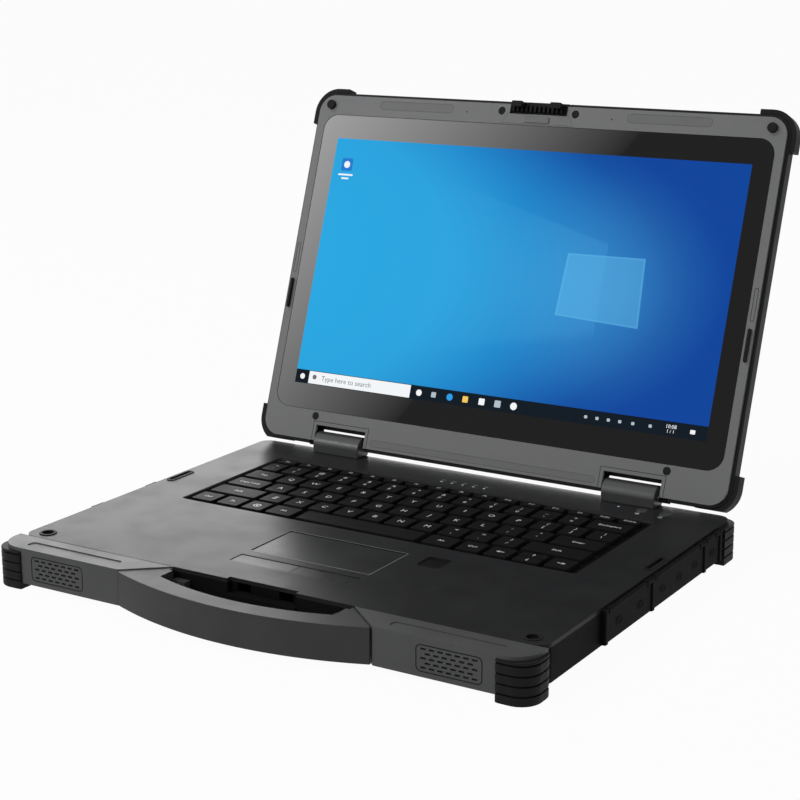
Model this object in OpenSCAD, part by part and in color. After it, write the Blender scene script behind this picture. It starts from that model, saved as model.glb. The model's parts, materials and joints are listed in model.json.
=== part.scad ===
/* [Base] */
// Width of the base across its deck
base_w = 352; // [345:1:430]
// Depth of the base from the deck's front seam to its rear edge
base_d = 250; // [248:1:300]
// Height of the case, without the bumpers' standing ribs
case_h = 21.8; // [20:0.2:27]
// Height of the bumpers' feet under the case
foot_h = 3.7; // [2.5:0.1:6]
// Wall thickness of the bottom case
case_wall = 2.2; // [1.6:0.1:2.6]
// Thickness of the deck panel
deck_t = 2.4; // [1.8:0.1:2.6]
// Corner radius of the base
base_corner_r = 8; // [4:0.5:10]

/* [Front] */
// Depth of the front rails in front of the deck
rail_d = 20.4; // [18:0.2:25]
// Half distance between the rails at the deck's front seam
rail_inner_x = 61.6; // [55:0.2:66]
// Half distance between the rails at their front faces
rail_front_x = 85.8; // [80:0.2:95]
// Radius of the rails' outer corner
rail_corner_r = 16; // [10:1:18]
// Width of a front bumper
bumper_w = 21; // [18:0.5:26]
// Thickness of the bumpers outside the case
bumper_out = 3.6; // [2.5:0.1:5]
// Depth of the grooves between the bumpers' ribs
rib_groove = 1.5; // [0.4:0.1:1.6]
// How far the handle's front face bulges past the rails
handle_bulge = 17.8; // [12:0.2:26]
// Thickness of the handle's grip, front to back
handle_t = 12.6; // [10:0.2:15]
// Gap at the handle's ends
handle_gap = 1.2; // [0.4:0.1:1.5]
// Width of the speaker grille
grille_w = 41.4; // [36:0.2:46]
// Height of the speaker grille
grille_h = 14.5; // [10:0.5:16]
// Distance from the middle of the machine to the middle of a grille
grille_x = 131.7; // [128:0.1:133]

/* [Keyboard] */
// Distance between letter keys along a row
key_pitch = 18.8; // [18:0.1:19.05]
// Distance between rows of keys
row_pitch = 19.05; // [18.4:0.05:19.3]
// Height of a function key's cell
half_row = 10.6; // [9.6:0.1:11]
// Gap between neighbouring keys
key_gap = 3; // [2.6:0.1:3.6]
// Height of the keys' tops above the deck
key_rise = 0.4; // [0:0.1:0.6]
// Travel of a key
key_travel = 1.6; // [1:0.1:1.6]
// Height of a key cap
key_h = 3.6; // [3.2:0.1:3.8]
// Clearance round a key in the keyboard frame
key_clear = 0.35; // [0.3:0.05:0.5]
// Distance from the deck's front seam to the keyboard well
well_y = 106.8; // [104:0.2:108]
// Margin of the well in front of the keys
well_front = 1.7; // [1.2:0.1:3]
// Margin of the well behind the function keys
well_back = 3.3; // [1.2:0.1:4]
// Margin of the well left of the keys
well_left = 3.5; // [1.2:0.1:8]
// Margin of the well right of the keys
well_right = 4.8; // [1.2:0.1:5]
// Corner radius of the well
well_r = 2; // [1:0.5:3]

/* [Controls] */
// Width of the touchpad
pad_w = 82.8; // [70:0.2:100]
// Depth of the touchpad
pad_d = 41.9; // [36:0.1:46]
// Distance from the deck's front seam to the touchpad
pad_y = 46.2; // [44:0.2:50]
// Depth of a touchpad button
pad_button_d = 12.5; // [10:0.5:14]
// Distance from the deck's front seam to the touchpad buttons
pad_button_y = 25.9; // [20:0.1:28]
// Travel of a touchpad button
pad_button_travel = 0.6; // [0.3:0.1:1]
// Width of the fingerprint sensor
finger_w = 15.2; // [12:0.2:18]
// Depth of the fingerprint sensor
finger_d = 17; // [12:0.2:18]
// Diameter of a round deck button
round_button_dia = 7.6; // [6:0.1:9]
// Travel of a round deck button
round_button_travel = 0.8; // [0.4:0.1:1.2]
// Clearance round a part that moves in the deck
move_clear = 0.25; // [0.2:0.05:0.4]

/* [Lid] */
// Angle between the lid and the deck as the lid stands open
lid_open = 109.5; // [90:0.5:120]
// Distance from the base's sides in to the bezel's sides
lid_side_inset = 2.1; // [0.5:0.1:6]
// Distance from the deck's front seam back to the bezel's latch edge when the lid is shut
lid_front_inset = 2.16; // [0.5:0.02:6]
// Thickness of the lid from the bezel's face to its back
lid_t = 11; // [10:0.1:14]
// Thickness of the bezel
bezel_t = 2; // [1.6:0.1:2.2]
// Corner radius of the bezel
bezel_r = 12; // [8:0.5:16]
// Border of the lid cover that shows round the bezel
lid_border = 2.2; // [1.5:0.1:3]
// Wall of the lid cover
lid_wall = 1.8; // [1.4:0.1:2.2]
// Gap between the bezel and the deck when the lid is shut
lid_gap = 1.2; // [1:0.1:1.6]
// Thickness of the lid's corner bumpers outside the cover
lid_bumper_t = 3.2; // [2:0.1:4]
// Length of a lid bumper's arms
lid_bumper_arm = 26; // [20:1:40]

/* [Display] */
// Width of the cover glass
glass_w = 336.2; // [330:0.2:338]
// Height of the cover glass
glass_l = 209.9; // [200:0.1:212]
// Distance from the bezel's hinge edge to the glass
glass_v = 20.9; // [18:0.1:24]
// Corner radius of the cover glass
glass_r = 11; // [6:0.5:14]
// Depth of the glass below the bezel's face
glass_sink = 0.3; // [0.1:0.1:0.6]
// Width of the lit picture
picture_w = 309.4; // [290:0.2:320]
// Height of the lit picture
picture_l = 174; // [160:0.2:180]
// Distance from the bezel's hinge edge to the lit picture
picture_v = 40; // [36:0.1:44]

/* [Hinges] */
// Depth of the hinge axis behind the bezel's face
axis_depth = 4.25; // [4:0.05:4.6]
// Distance from the hinge axis to the bezel's hinge edge
axis_edge = 0.44; // [0.2:0.02:0.8]
// Distance from the hinge axis to the base's rear edge
axis_rear = 2.8; // [2.4:0.1:3]
// Inner end of a hinge block
block_x0 = 91.8; // [70:0.5:95]
// Length of a hinge block
block_l = 36.6; // [30:0.2:44]
// Radius of a hinge block about its axis
block_r = 7.8; // [7:0.1:8]
// Diameter of a hinge pin
hinge_pin_dia = 3; // [2:0.1:3.2]
// Running clearance round the hinge and door pins
pin_clear = 0.05; // [0.03:0.01:0.1]

/* [Latch] */
// Width of the latch recess in the deck's front edge
latch_w = 47; // [44:0.5:52]
// Depth of the latch recess
latch_recess = 3.2; // [3:0.1:4]
// Travel of the latch slide
latch_travel = 2; // [1.5:0.1:2.4]
// Height of the latch hooks above the bezel
hook_h = 5.6; // [5:0.1:7]

/* [Doors] */
// Height of the port doors
door_h = 17; // [14:0.2:18]
// Thickness of the port doors
door_t = 2; // [1.6:0.1:2.4]
// Width of a column between the doors
column_w = 4; // [3:0.2:6]
// Distance from the deck's front seam to the first column
column_y = 64.8; // [62:0.2:68]
// Span of the front port door, column to column
door_a = 60.4; // [50:0.2:64]
// Span of the middle port door, column to column
door_b = 75; // [60:0.2:78]
// Span of the rear port door, column to column
door_c = 24; // [20:0.2:26]
// Diameter of a door's hinge pin
door_pin_dia = 1.2; // [1:0.1:1.4]

/* [Inside] */
// Thickness of the circuit board
board_t = 1.6; // [1:0.1:2]
// Height of the board above the case floor
board_rise = 3; // [2.5:0.1:4]
// Diameter of the fan's impeller
fan_dia = 54; // [46:1:56]
// Height of the fan housing
fan_h = 10; // [9:0.2:10]

/* [Hidden] */
$fn = 48;

// Places and sizes that follow from the driving dimensions
half_w = base_w / 2;
deck_z = case_h + foot_h;
floor_z = -case_h + case_wall;
lid_slope = 180 - lid_open;
hinge_y = base_d - axis_rear;
hinge_z = axis_depth + lid_gap;
bezel_w = base_w - 2 * lid_side_inset;
bezel_l = hinge_y - axis_edge - lid_front_inset;
cover_w = bezel_w + 2 * lid_border;
cover_l = bezel_l + 2 * lid_border;
cover_v = axis_edge - lid_border;
cover_r = bezel_r + lid_border;
cover_front = axis_depth - bezel_t;
lid_back = axis_depth - lid_t;
bumper_back = lid_back - 0.5;
lid_tip = cover_v + cover_l + lid_bumper_t;
rear_reach = hinge_y + lid_tip * cos(lid_slope) - bumper_back * sin(lid_slope);
front_reach = rail_d + handle_bulge;
origin_y = (rear_reach - front_reach) / 2;

// Keyboard cells, measured in key pitches from the left end of a row
row_l = 14.44 * key_pitch;
row_x0 = -row_l / 2 - 0.75;
number_start = 0.843 * key_pitch;
upper_start = 1.343 * key_pitch;
home_start = 1.593 * key_pitch;
lower_start = 2.093 * key_pitch;
space_start = 4.25 * key_pitch;
space_end = 9.09 * key_pitch;
arrow_start = 11.34 * key_pitch;
arrow_mid = 12.34 * key_pitch;
arrow_last = 13.43 * key_pitch;
well_w = row_l + well_left + well_right;
well_d = 5 * row_pitch + half_row + well_front + well_back;
well_x0 = row_x0 - well_left;
row_y0 = well_y + well_front;
key_r = 1.4;
key_bottom = key_rise - key_h;
pocket_floor = key_bottom - key_travel - 0.2;
frame_bottom = pocket_floor - 1.4;
frame_flange = 4;

// Lines of the lid that match places on the deck when the lid is shut
peg_x = bezel_w / 2 - 9.6;
peg_v = bezel_l - 7;
peg_r = 3.2;
peg_h = 2.3;
bar_x = half_w - 4.8;
bar_v = 100.9;
bar_l = 21;
bar_w = 2;
bar_h = 2;
socket_clear = 0.35;
ring_w = 1.8;
ring_rise = 0.5;
socket_depth = peg_h - lid_gap + 0.6;

// Doors
door_x = half_w + 0.3;
door_axis_x = door_x + door_t / 2 + 0.5;
door_axis_z = -2.3;
barrel_r = 1.4;
lug_l = 8;
door_top = door_axis_z - barrel_r - 0.6;
door_bottom = -case_h + 1;
column_out = door_t + 1.2;
column_top = -1;
columns = [
    column_y,
    column_y + door_a,
    column_y + door_a + door_b,
    column_y + door_a + door_b + door_c
];
left_columns = [column_y, column_y + door_a];
port_floor = floor_z + board_rise + board_t;

// Inside
board_x0 = -88;
board_y0 = 110;
board_z = floor_z + board_rise;
board_y1 = base_d - 14;
board_x1 = half_w - case_wall - 1.2;
fan_x = -half_w + 48;
fan_y = 176;
fan_box = fan_dia + 12;
fan_shaft_r = 1.5;
round_button_x = 123;
round_button_pitch = 15.5;
round_button_y = base_d - 16;

module place_base() {
    translate([0, -origin_y, deck_z])
        children();
}

module place_lid() {
    translate([0, hinge_y - origin_y, deck_z + hinge_z])
        rotate([lid_slope, 0, 0])
            translate([0, axis_edge, 0])
                children();
}

module both_sides() {
    children();
    mirror([1, 0, 0])
        children();
}

// Rectangle with round corners, centred
module rounded(w, d, r) {
    square([w - 2 * r, d], center = true);
    square([w, d - 2 * r], center = true);
    for (x = [-1, 1], y = [-1, 1])
        translate([x * (w / 2 - r), y * (d / 2 - r)])
            circle(r);
}

// Plate with round corners: its low corner at x, y, its underside at z
module slab(x, y, z, w, d, t, r) {
    translate([x + w / 2, y + d / 2, z])
        linear_extrude(t)
            rounded(w, d, r);
}

// Rectangle with square corners between two points
module box(x0, x1, y0, y1, z0, z1) {
    translate([x0, y0, z0])
        cube([x1 - x0, y1 - y0, z1 - z0]);
}

module rod_x(x0, x1, r) {
    translate([x0, 0, 0])
        rotate([0, 90, 0])
            cylinder(r = r, h = x1 - x0);
}

module rod_y(y0, y1, r) {
    translate([0, y0, 0])
        rotate([-90, 0, 0])
            cylinder(r = r, h = y1 - y0);
}

// Base ------------------------------------------------------------------

module case_outline() {
    translate([0, base_d / 2])
        rounded(base_w, base_d, base_corner_r);
}

// Room that the rear bumpers take out of the case's corners
module rear_corner_cut() {
    both_sides()
        box(half_w - 4, half_w + 9, base_d - 19, base_d + 9, -case_h - 9, -deck_t);
    both_sides()
        box(half_w - 19, half_w + 9, base_d - 4, base_d + 9, -case_h - 9, -deck_t);
}

// Column with a rounded outer edge beside a door, and the lugs of the door's pin
module door_column(y) {
    translate([half_w + column_out / 2 + 0.01, y + column_w / 2, door_bottom])
        linear_extrude(column_top - door_bottom)
            rounded(column_out, column_w, 1);
    box(half_w - 1, half_w + 1, y, y + column_w, door_bottom, -deck_t - 0.01);
    box(half_w + 0.01, half_w + 1.1, y, y + column_w, door_bottom, column_top);
}

module door_lug(y) {
    difference() {
        union() {
            translate([door_axis_x, 0, door_axis_z])
                rod_y(y, y + lug_l - 1.4, barrel_r + 0.3);
            box(half_w + 0.01, door_axis_x, y, y + lug_l - 1.4, door_axis_z - 1.2, door_axis_z + 1.2);
            box(half_w - 1, door_axis_x, y, y + lug_l - 1.4, door_axis_z - 1.2, -deck_t - 0.01);
        }
        translate([door_axis_x, 0, door_axis_z])
            rod_y(y - 9, y + lug_l + 9, door_pin_dia / 2 + pin_clear);
    }
}

// Columns and lugs for the doors between the given columns
module door_frame(ys) {
    difference() {
        for (y = ys)
            door_column(y);
        for (i = [0 : len(ys) - 2])
            translate([door_axis_x, 0, door_axis_z])
                rod_y(ys[i] + column_w - 2, ys[i + 1] + 2, door_pin_dia / 2 + pin_clear);
    }
    for (i = [0 : len(ys) - 2]) {
        door_lug(ys[i] + column_w);
        door_lug(ys[i + 1] - lug_l + 1.4);
    }
}

// Window in the side wall behind a door
module port_window(y0, y1) {
    box(half_w - case_wall - 2, half_w + 0.1, y0 + column_w + 3, y1 - 3, port_floor - 0.5, door_top - 0.5);
}

module standoffs() {
    for (x = [board_x0 + 6, board_x1 - 8], y = [board_y0 + 6, board_y1 - 6])
        translate([x, y, floor_z - 0.1])
            cylinder(r = 3, h = board_rise + 0.1);
}

module bottom_case() {
    color("#202123")
        place_base() {
            difference() {
                translate([0, 0, -case_h])
                    linear_extrude(case_h - deck_t)
                        case_outline();
                translate([0, 0, floor_z])
                    linear_extrude(case_h)
                        translate([0, base_d / 2])
                            rounded(base_w - 2 * case_wall, base_d - 2 * case_wall,
                                base_corner_r - case_wall);
                rear_corner_cut();
                for (i = [0 : len(columns) - 2])
                    port_window(columns[i], columns[i + 1]);
                mirror([1, 0, 0])
                    port_window(left_columns[0], left_columns[1]);
                vent_slots();
                service_window(0);
                screw_holes();
                latch_cut();
                handle_screw_rods(1.3);
                drain_slots();
            }
            intersection() {
                translate([0, 0, floor_z - 0.1])
                    linear_extrude(-deck_t - floor_z + 0.1)
                        case_outline();
                corner_walls();
            }
            door_frame(columns);
            mirror([1, 0, 0])
                door_frame(left_columns);
            standoffs();
        }
}

// Inner walls that close the case round the cut corners
module corner_walls() {
    both_sides()
        difference() {
            box(half_w - 19 - case_wall, half_w - 4, base_d - 19 - case_wall, base_d - 4, floor_z - 0.1,
                -deck_t);
            box(half_w - 19 - 2 * case_wall, half_w - 4 - case_wall, base_d - 30, base_d - 4 - case_wall,
                floor_z, 0);
        }
}

// Slots of the fan's outlet in the left wall
module vent_slots() {
    for (i = [0 : 8])
        box(-half_w - 1, -half_w + case_wall + 1, fan_y - 24 + 5.4 * i, fan_y - 21 + 5.4 * i,
            floor_z + 2, floor_z + fan_h);
}

// Inlet slots under the fan
module drain_slots() {
    for (i = [0 : 6])
        box(fan_x - 20, fan_x + 20, fan_y - 19 + 6 * i, fan_y - 17 + 6 * i, -case_h - 1, floor_z + 1);
}

module service_window(gap) {
    translate([cover_mid_x, cover_mid_y, -case_h - 1])
        linear_extrude(case_wall + 2)
            rounded(cover_size_x - 2 * gap, cover_size_y - 2 * gap, 4);
}

cover_mid_x = 20;
cover_mid_y = 56;
cover_size_x = 236;
cover_size_y = 88;

module service_cover() {
    color("#232426")
        place_base()
            intersection() {
                service_window(0.3);
                box(-half_w, half_w, 0, base_d, -case_h, floor_z);
            }
}

// Places of the case screws
screw_spots = [
    for (x = [-1, 1], y = [8, base_d - 30])
        [x * (half_w - 26), y],
    [0, base_d - 12],
    [-60, base_d - 12],
    [60, base_d - 12]
];
screw_r = 1.5;
screw_head_r = 2.9;

module screw_holes() {
    for (p = screw_spots)
        translate([p[0], p[1], -case_h - 1]) {
            cylinder(r = screw_r + 0.05, h = case_wall + 3);
            cylinder(r = screw_head_r + 0.2, h = 1 + 1.2);
        }
}

module case_screws() {
    color("#6b6d70")
        place_base()
            for (p = screw_spots)
                translate([p[0], p[1], -case_h])
                    difference() {
                        union() {
                            cylinder(r = screw_head_r, h = 1.2);
                            cylinder(r = screw_r, h = case_wall + 1.5);
                        }
                        translate([0, 0, -0.1])
                            cylinder(r = 1.3, h = 0.8, $fn = 6);
                    }
}

// Openings of the deck
module deck_cuts() {
    slab(well_x0, well_y, -deck_t - 1, well_w, well_d, deck_t + 2, well_r);
    slab(-pad_w / 2, pad_y, -deck_t - 1, pad_w, pad_d, deck_t + 2, 1.5);
    slab(-pad_w / 2, pad_button_y, -deck_t - 1, pad_w, pad_button_d, deck_t + 2, 1);
    slab(finger_x, finger_y, -deck_t - 1, finger_w, finger_d, deck_t + 2, finger_r);
    for (i = [0, 1])
        translate([round_button_x + i * round_button_pitch, round_button_y, -deck_t - 1])
            cylinder(d = round_button_dia + 2 * move_clear, h = deck_t + 2);
    both_sides()
        peg_socket(peg_r + socket_clear + ring_w, -deck_t - 1, deck_t + 2);
    both_sides()
        bar_socket(bar_w + 2 * (socket_clear + ring_w), bar_l + 2 * (socket_clear + ring_w),
            -deck_t - 1, deck_t + 2);
    for (p = light_spots)
        translate([p[0], p[1], -deck_t - 1])
            cylinder(r = light_r, h = deck_t + 2);
    latch_cut();
}

finger_x = 54.8;
finger_y = 74;
finger_r = 3;
light_r = 0.9;
light_spots = [
    for (i = [0 : 4]) [-16 + 8 * i, well_y + well_d + 6.4],
    [107, round_button_y]
];

module peg_socket(r, z, h) {
    translate([peg_x, hinge_y - axis_edge - peg_v, z])
        cylinder(r = r, h = h);
}

module bar_socket(w, l, z, h) {
    translate([bar_x, hinge_y - axis_edge - bar_v, z])
        linear_extrude(h)
            rounded(w, l, w / 2 - 0.01);
}

// Room for the latch hooks in the front edge
module latch_cut() {
    box(-latch_w / 2, latch_w / 2, -1, latch_recess, -8, 1);
    box(-latch_w / 2, latch_w / 2, -1, latch_recess + case_wall, keeper_z, -deck_t);
}

module top_deck() {
    color("#1b1c1e")
        place_base()
            difference() {
                union() {
                    translate([0, 0, -deck_t])
                        linear_extrude(deck_t)
                            case_outline();
                    socket_cups();
                }
                deck_cuts();
                both_sides()
                    peg_socket(peg_r + socket_clear + ring_w, -socket_depth - 0.6, 9);
                both_sides()
                    bar_socket(bar_w + 2 * (socket_clear + ring_w), bar_l + 2 * (socket_clear + ring_w),
                        -socket_depth - 0.6, 9);
            }
}

// Cups under the deck that hold the rubber sockets
module socket_cups() {
    both_sides()
        peg_socket(peg_r + socket_clear + ring_w + 1, -socket_depth - 1.4, socket_depth + 1);
    both_sides()
        intersection() {
            bar_socket(bar_w + 2 * (socket_clear + ring_w + 0.6), bar_l + 2 * (socket_clear + ring_w + 0.6),
                -socket_depth - 1.4, socket_depth + 1);
            box(0, half_w - case_wall, 0, base_d, -9, 0);
        }
}

module deck_sockets() {
    color("#101010")
        place_base()
            both_sides() {
                difference() {
                    peg_socket(peg_r + socket_clear + ring_w, -socket_depth - 0.6,
                        socket_depth + 0.6 + ring_rise);
                    peg_socket(peg_r + socket_clear, -socket_depth, 9);
                }
                difference() {
                    bar_socket(bar_w + 2 * (socket_clear + ring_w), bar_l + 2 * (socket_clear + ring_w),
                        -socket_depth - 0.6, socket_depth + 0.6 + ring_rise);
                    bar_socket(bar_w + 2 * socket_clear, bar_l + 2 * socket_clear, -socket_depth, 9);
                }
            }
}

// Front -------------------------------------------------------------------

rail_x1 = half_w + 2;
rail_top_t = 2.2;
rail_wall = 2;
bumper_x0 = rail_x1 - bumper_w + 2;

// Top outline of a rail, with its slanted inner end and round outer corner
module rail_outline() {
    difference() {
        union() {
            polygon([
                [rail_inner_x, 0],
                [rail_front_x, -rail_d],
                [rail_x1 - rail_corner_r, -rail_d],
                [rail_x1 - rail_corner_r, 0]
            ]);
            translate([rail_x1 - rail_corner_r, -rail_d + rail_corner_r])
                circle(rail_corner_r);
            square_between(rail_x1 - rail_corner_r, rail_x1, -rail_d + rail_corner_r, 0);
        }
        square_between(0, rail_x1 + 1, 0, rail_corner_r);
    }
}

module square_between(x0, x1, y0, y1) {
    translate([x0, y0])
        square([x1 - x0, y1 - y0]);
}

// Round-ended grille slots in five offset rows
module grille_slots(depth) {
    pitch_x = grille_w / 8.2;
    pitch_z = grille_h / 5.6;
    for (row = [-2 : 2]) {
        count = row % 2 == 0 ? 7 : 6;
        for (i = [0 : count - 1])
            translate([(i - (count - 1) / 2) * pitch_x, 0, row * pitch_z])
                rotate([90, 0, 0])
                    translate([0, 0, -depth / 2])
                        linear_extrude(depth)
                            rounded(pitch_x * 0.68, pitch_z * 0.46, pitch_z * 0.2);
    }
}

grille_z = -case_h / 2 - 0.4;

module front_rail() {
    difference() {
        union() {
            translate([0, 0, -rail_top_t])
                linear_extrude(rail_top_t)
                    rail_outline();
            intersection() {
                difference() {
                    translate([0, 0, -case_h])
                        linear_extrude(case_h)
                            rail_outline();
                    translate([0, 0, -case_h + rail_wall])
                        linear_extrude(case_h - rail_wall - rail_top_t)
                            polygon([
                                [rail_inner_x + 6, -rail_wall],
                                [rail_front_x + 3, -rail_d + rail_wall],
                                [rail_x1, -rail_d + rail_wall],
                                [rail_x1, -rail_wall]
                            ]);
                }
                box(0, bumper_x0, -rail_d, 0, -case_h, 0);
            }
        }
        translate([0, 0, -0.5])
            slab(rail_front_x + 6, -rail_d + 6, 0, rail_x1 - rail_front_x - 24, 6.5, 1, 2);
        translate([grille_x, -rail_d, grille_z])
            grille_slots(2 * rail_wall + 1);
        for (x = [rail_front_x + 8, bumper_x0 - 6])
            translate([x, -rail_wall - 1, -case_h / 2])
                rod_y(0, rail_wall + 2, 1.3);
    }
}

module front_rail_left() {
    color("#4a4c4f")
        place_base()
            mirror([1, 0, 0])
                front_rail();
}

module front_rail_right() {
    color("#4a4c4f")
        place_base()
            front_rail();
}

// Levels between the ribs of the corner bumpers
rib_levels = [4.5, 10, 15.4, 20.8];
rib_line = 0.9;

module front_bumper_outline(grow) {
    intersection() {
        translate([rail_x1 + bumper_out / 2 - bumper_w / 2 - 4, -rail_d - bumper_out / 2 + bumper_w / 2 + 4])
            rounded(bumper_w + 8 + 2 * grow, bumper_w + 8 + 2 * grow, rail_corner_r * 0.75 + grow);
        square_between(bumper_x0, rail_x1 + 9, -rail_d - 9, -0.01);
    }
}

module front_bumper() {
    difference() {
        translate([0, 0, -deck_z])
            linear_extrude(deck_z - rail_top_t)
                front_bumper_outline(0);
        for (level = rib_levels)
            translate([0, 0, -level])
                linear_extrude(rib_line)
                    difference() {
                        front_bumper_outline(3);
                        front_bumper_outline(-rib_groove);
                    }
    }
}

module bumper_front_left() {
    color("#151515")
        place_base()
            mirror([1, 0, 0])
                front_bumper();
}

module bumper_front_right() {
    color("#151515")
        place_base()
            front_bumper();
}

module rear_bumper_outline(grow) {
    intersection() {
        translate([half_w + bumper_out - 20, base_d + bumper_out - 20])
            rounded(40 + 2 * grow, 40 + 2 * grow, base_corner_r + bumper_out / 2 + grow);
        difference() {
            square_between(half_w - 19, half_w + 9, base_d - 19, base_d + 9);
            square_between(half_w - 60, half_w - 4, base_d - 60, base_d - 4);
        }
    }
}

module rear_bumper() {
    difference() {
        translate([0, 0, -deck_z])
            linear_extrude(deck_z - deck_t)
                rear_bumper_outline(0);
        for (level = rib_levels)
            translate([0, 0, -level])
                linear_extrude(rib_line)
                    difference() {
                        translate([half_w + bumper_out - 20, base_d + bumper_out - 20])
                            rounded(48, 48, base_corner_r);
                        translate([half_w + bumper_out - 20, base_d + bumper_out - 20])
                            rounded(40 - 2 * rib_groove, 40 - 2 * rib_groove,
                                base_corner_r + bumper_out / 2 - rib_groove);
                    }
    }
    translate([0, 0, -deck_z])
        linear_extrude(foot_h)
            square_between(half_w - 19, half_w - 4 + 0.5, base_d - 19, base_d - 4 + 0.5);
}

module bumper_rear_left() {
    color("#151515")
        place_base()
            mirror([1, 0, 0])
                rear_bumper();
}

module bumper_rear_right() {
    color("#151515")
        place_base()
            rear_bumper();
}

module speaker() {
    translate([grille_x, 0, grille_z]) {
        box(-grille_w / 2, grille_w / 2, -rail_d + rail_wall, -rail_d + rail_wall + 1.2, -grille_h / 2,
            grille_h / 2);
        box(-grille_w / 2 + 3, grille_w / 2 - 3, -rail_d + rail_wall + 1.2, -rail_wall - 3,
            -grille_h / 2 + 2, grille_h / 2 - 1);
    }
}

module speaker_left() {
    color("#0d0d0d")
        place_base()
            mirror([1, 0, 0])
                speaker();
}

module speaker_right() {
    color("#0d0d0d")
        place_base()
            speaker();
}

// Radius of an arc through its crown and both ends
function arc_radius(half_chord, sagitta) = (half_chord * half_chord + sagitta * sagitta) / (2 * sagitta);

handle_end = rail_front_x - handle_gap;
handle_sag = handle_bulge - 1.2;
handle_r = arc_radius(handle_end, handle_sag);
grip_half = rail_inner_x - 3;
grip_end_y = -rail_d + 5;
grip_sag = handle_bulge - handle_t + 5;
grip_r = arc_radius(grip_half, grip_sag);

// Room behind the grip: a shallow arc with round ends, open to the deck's front wall
module grip_outline() {
    intersection() {
        translate([0, grip_r - rail_d - handle_bulge + handle_t])
            circle(grip_r, $fn = 180);
        square_between(-grip_half, grip_half, -rail_d - handle_bulge, -5);
    }
    square_between(-grip_half, grip_half, grip_end_y, -4);
    square_between(-grip_half - 2.4, grip_half + 2.4, -4, 1);
}

module handle_outline() {
    difference() {
        intersection() {
            translate([0, handle_r - rail_d - handle_bulge])
                circle(handle_r, $fn = 180);
            polygon([
                [-rail_inner_x + handle_gap, -0.01],
                [-rail_front_x + handle_gap, -rail_d],
                [-rail_front_x + handle_gap, -rail_d - handle_bulge - 1],
                [rail_front_x - handle_gap, -rail_d - handle_bulge - 1],
                [rail_front_x - handle_gap, -rail_d],
                [rail_inner_x - handle_gap, -0.01]
            ]);
        }
        grip_outline();
    }
}

handle_z0 = -case_h + 0.6;
handle_z1 = -0.6;

module carry_handle() {
    color("#3c3d3f")
        place_base()
            difference() {
                union() {
                    translate([0, 0, handle_z0])
                        linear_extrude(handle_z1 - handle_z0)
                            handle_outline();
                    both_sides()
                        box(rail_inner_x - 12, rail_inner_x - 2, -handle_foot_t, -0.01, handle_z0 + 2, -6);
                }
                handle_screw_rods(1.3);
            }
}

handle_foot_t = 5;
handle_screw_x = rail_inner_x - 7;

module handle_screw_rods(r) {
    both_sides()
        for (z = [-15.5, -9.5])
            translate([handle_screw_x, 0, z])
                rod_y(-handle_foot_t - 4, case_wall + 2, r);
}

module handle_screws() {
    color("#77797c")
        place_base()
            both_sides()
                for (z = [-15.5, -9.5])
                    translate([handle_screw_x, 0, z]) {
                        rod_y(-handle_foot_t, case_wall + 1.5, 1.25);
                        difference() {
                            rod_y(-handle_foot_t - 1.6, -handle_foot_t, 2.2);
                            rod_y(-handle_foot_t - 2, -handle_foot_t - 0.8, 1);
                        }
                    }
}

// Plate in the front wall that the latch hooks catch under
module latch_keeper() {
    color("#2a2b2d")
        place_base()
            difference() {
                union() {
                    box(-keeper_half, keeper_half, -1.4, 0, -case_h + 3, keeper_z + 1.2);
                    box(-keeper_half, keeper_half, -1.4, latch_recess + case_wall, keeper_z, keeper_z + 1.2);
                    box(-keeper_half, keeper_half, latch_recess + 0.3, latch_recess + case_wall,
                        keeper_z, -deck_t - 0.01);
                }
                both_sides()
                    box(hook_x - hook_w / 2 - 1, hook_x + hook_w / 2 + 1, latch_recess - 1,
                        latch_recess + case_wall + 1, keeper_z + 1.6, keeper_lip_z);
            }
}

hook_x = 14.4;
hook_w = 7.4;
keeper_z = -9.6;
keeper_lip_z = -deck_t - 0.5;
keeper_half = latch_w / 2 - 0.3;

// Keyboard ----------------------------------------------------------------

// A key cap in its cell: x and length along the row, y and depth of the row
module key(x, l, y, d) {
    slab(x + key_gap / 2, y + key_gap / 2, key_bottom, l - key_gap, d - key_gap, key_h, key_r);
}

// Evenly spaced keys: their first cell starts at x
module key_run(x, count, l, y, d) {
    for (i = [0 : count - 1])
        key(x + i * l, l, y, d);
}

function row_y(row) = row_y0 + row * row_pitch;

module keys_function() {
    key_run(row_x0, 16, row_l / 16, row_y(5), half_row);
}

module keys_number() {
    key(row_x0, number_start, row_y(4), row_pitch);
    key_run(row_x0 + number_start, 12, key_pitch, row_y(4), row_pitch);
    last_key(number_start + 12 * key_pitch, 4);
}

// The key that fills a row from x to its right end
module last_key(x, row) {
    key(row_x0 + x, row_l - x, row_y(row), row_pitch);
}

module keys_upper() {
    key(row_x0, upper_start, row_y(3), row_pitch);
    key_run(row_x0 + upper_start, 12, key_pitch, row_y(3), row_pitch);
    last_key(upper_start + 12 * key_pitch, 3);
}

module keys_home() {
    key(row_x0, home_start, row_y(2), row_pitch);
    key_run(row_x0 + home_start, 11, key_pitch, row_y(2), row_pitch);
}

module keys_lower() {
    key(row_x0, lower_start, row_y(1), row_pitch);
    key_run(row_x0 + lower_start, 10, key_pitch, row_y(1), row_pitch);
    last_key(lower_start + 10 * key_pitch, 1);
}

modifier_cells = [
    [0, 1.05], [1.05, 1.03], [2.08, 0.98], [3.06, 1.19], [9.09, 1.25], [10.34, 1]
];

module keys_modifier() {
    for (cell = modifier_cells)
        key(row_x0 + cell[0] * key_pitch, cell[1] * key_pitch, row_y(0), row_pitch);
}

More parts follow.
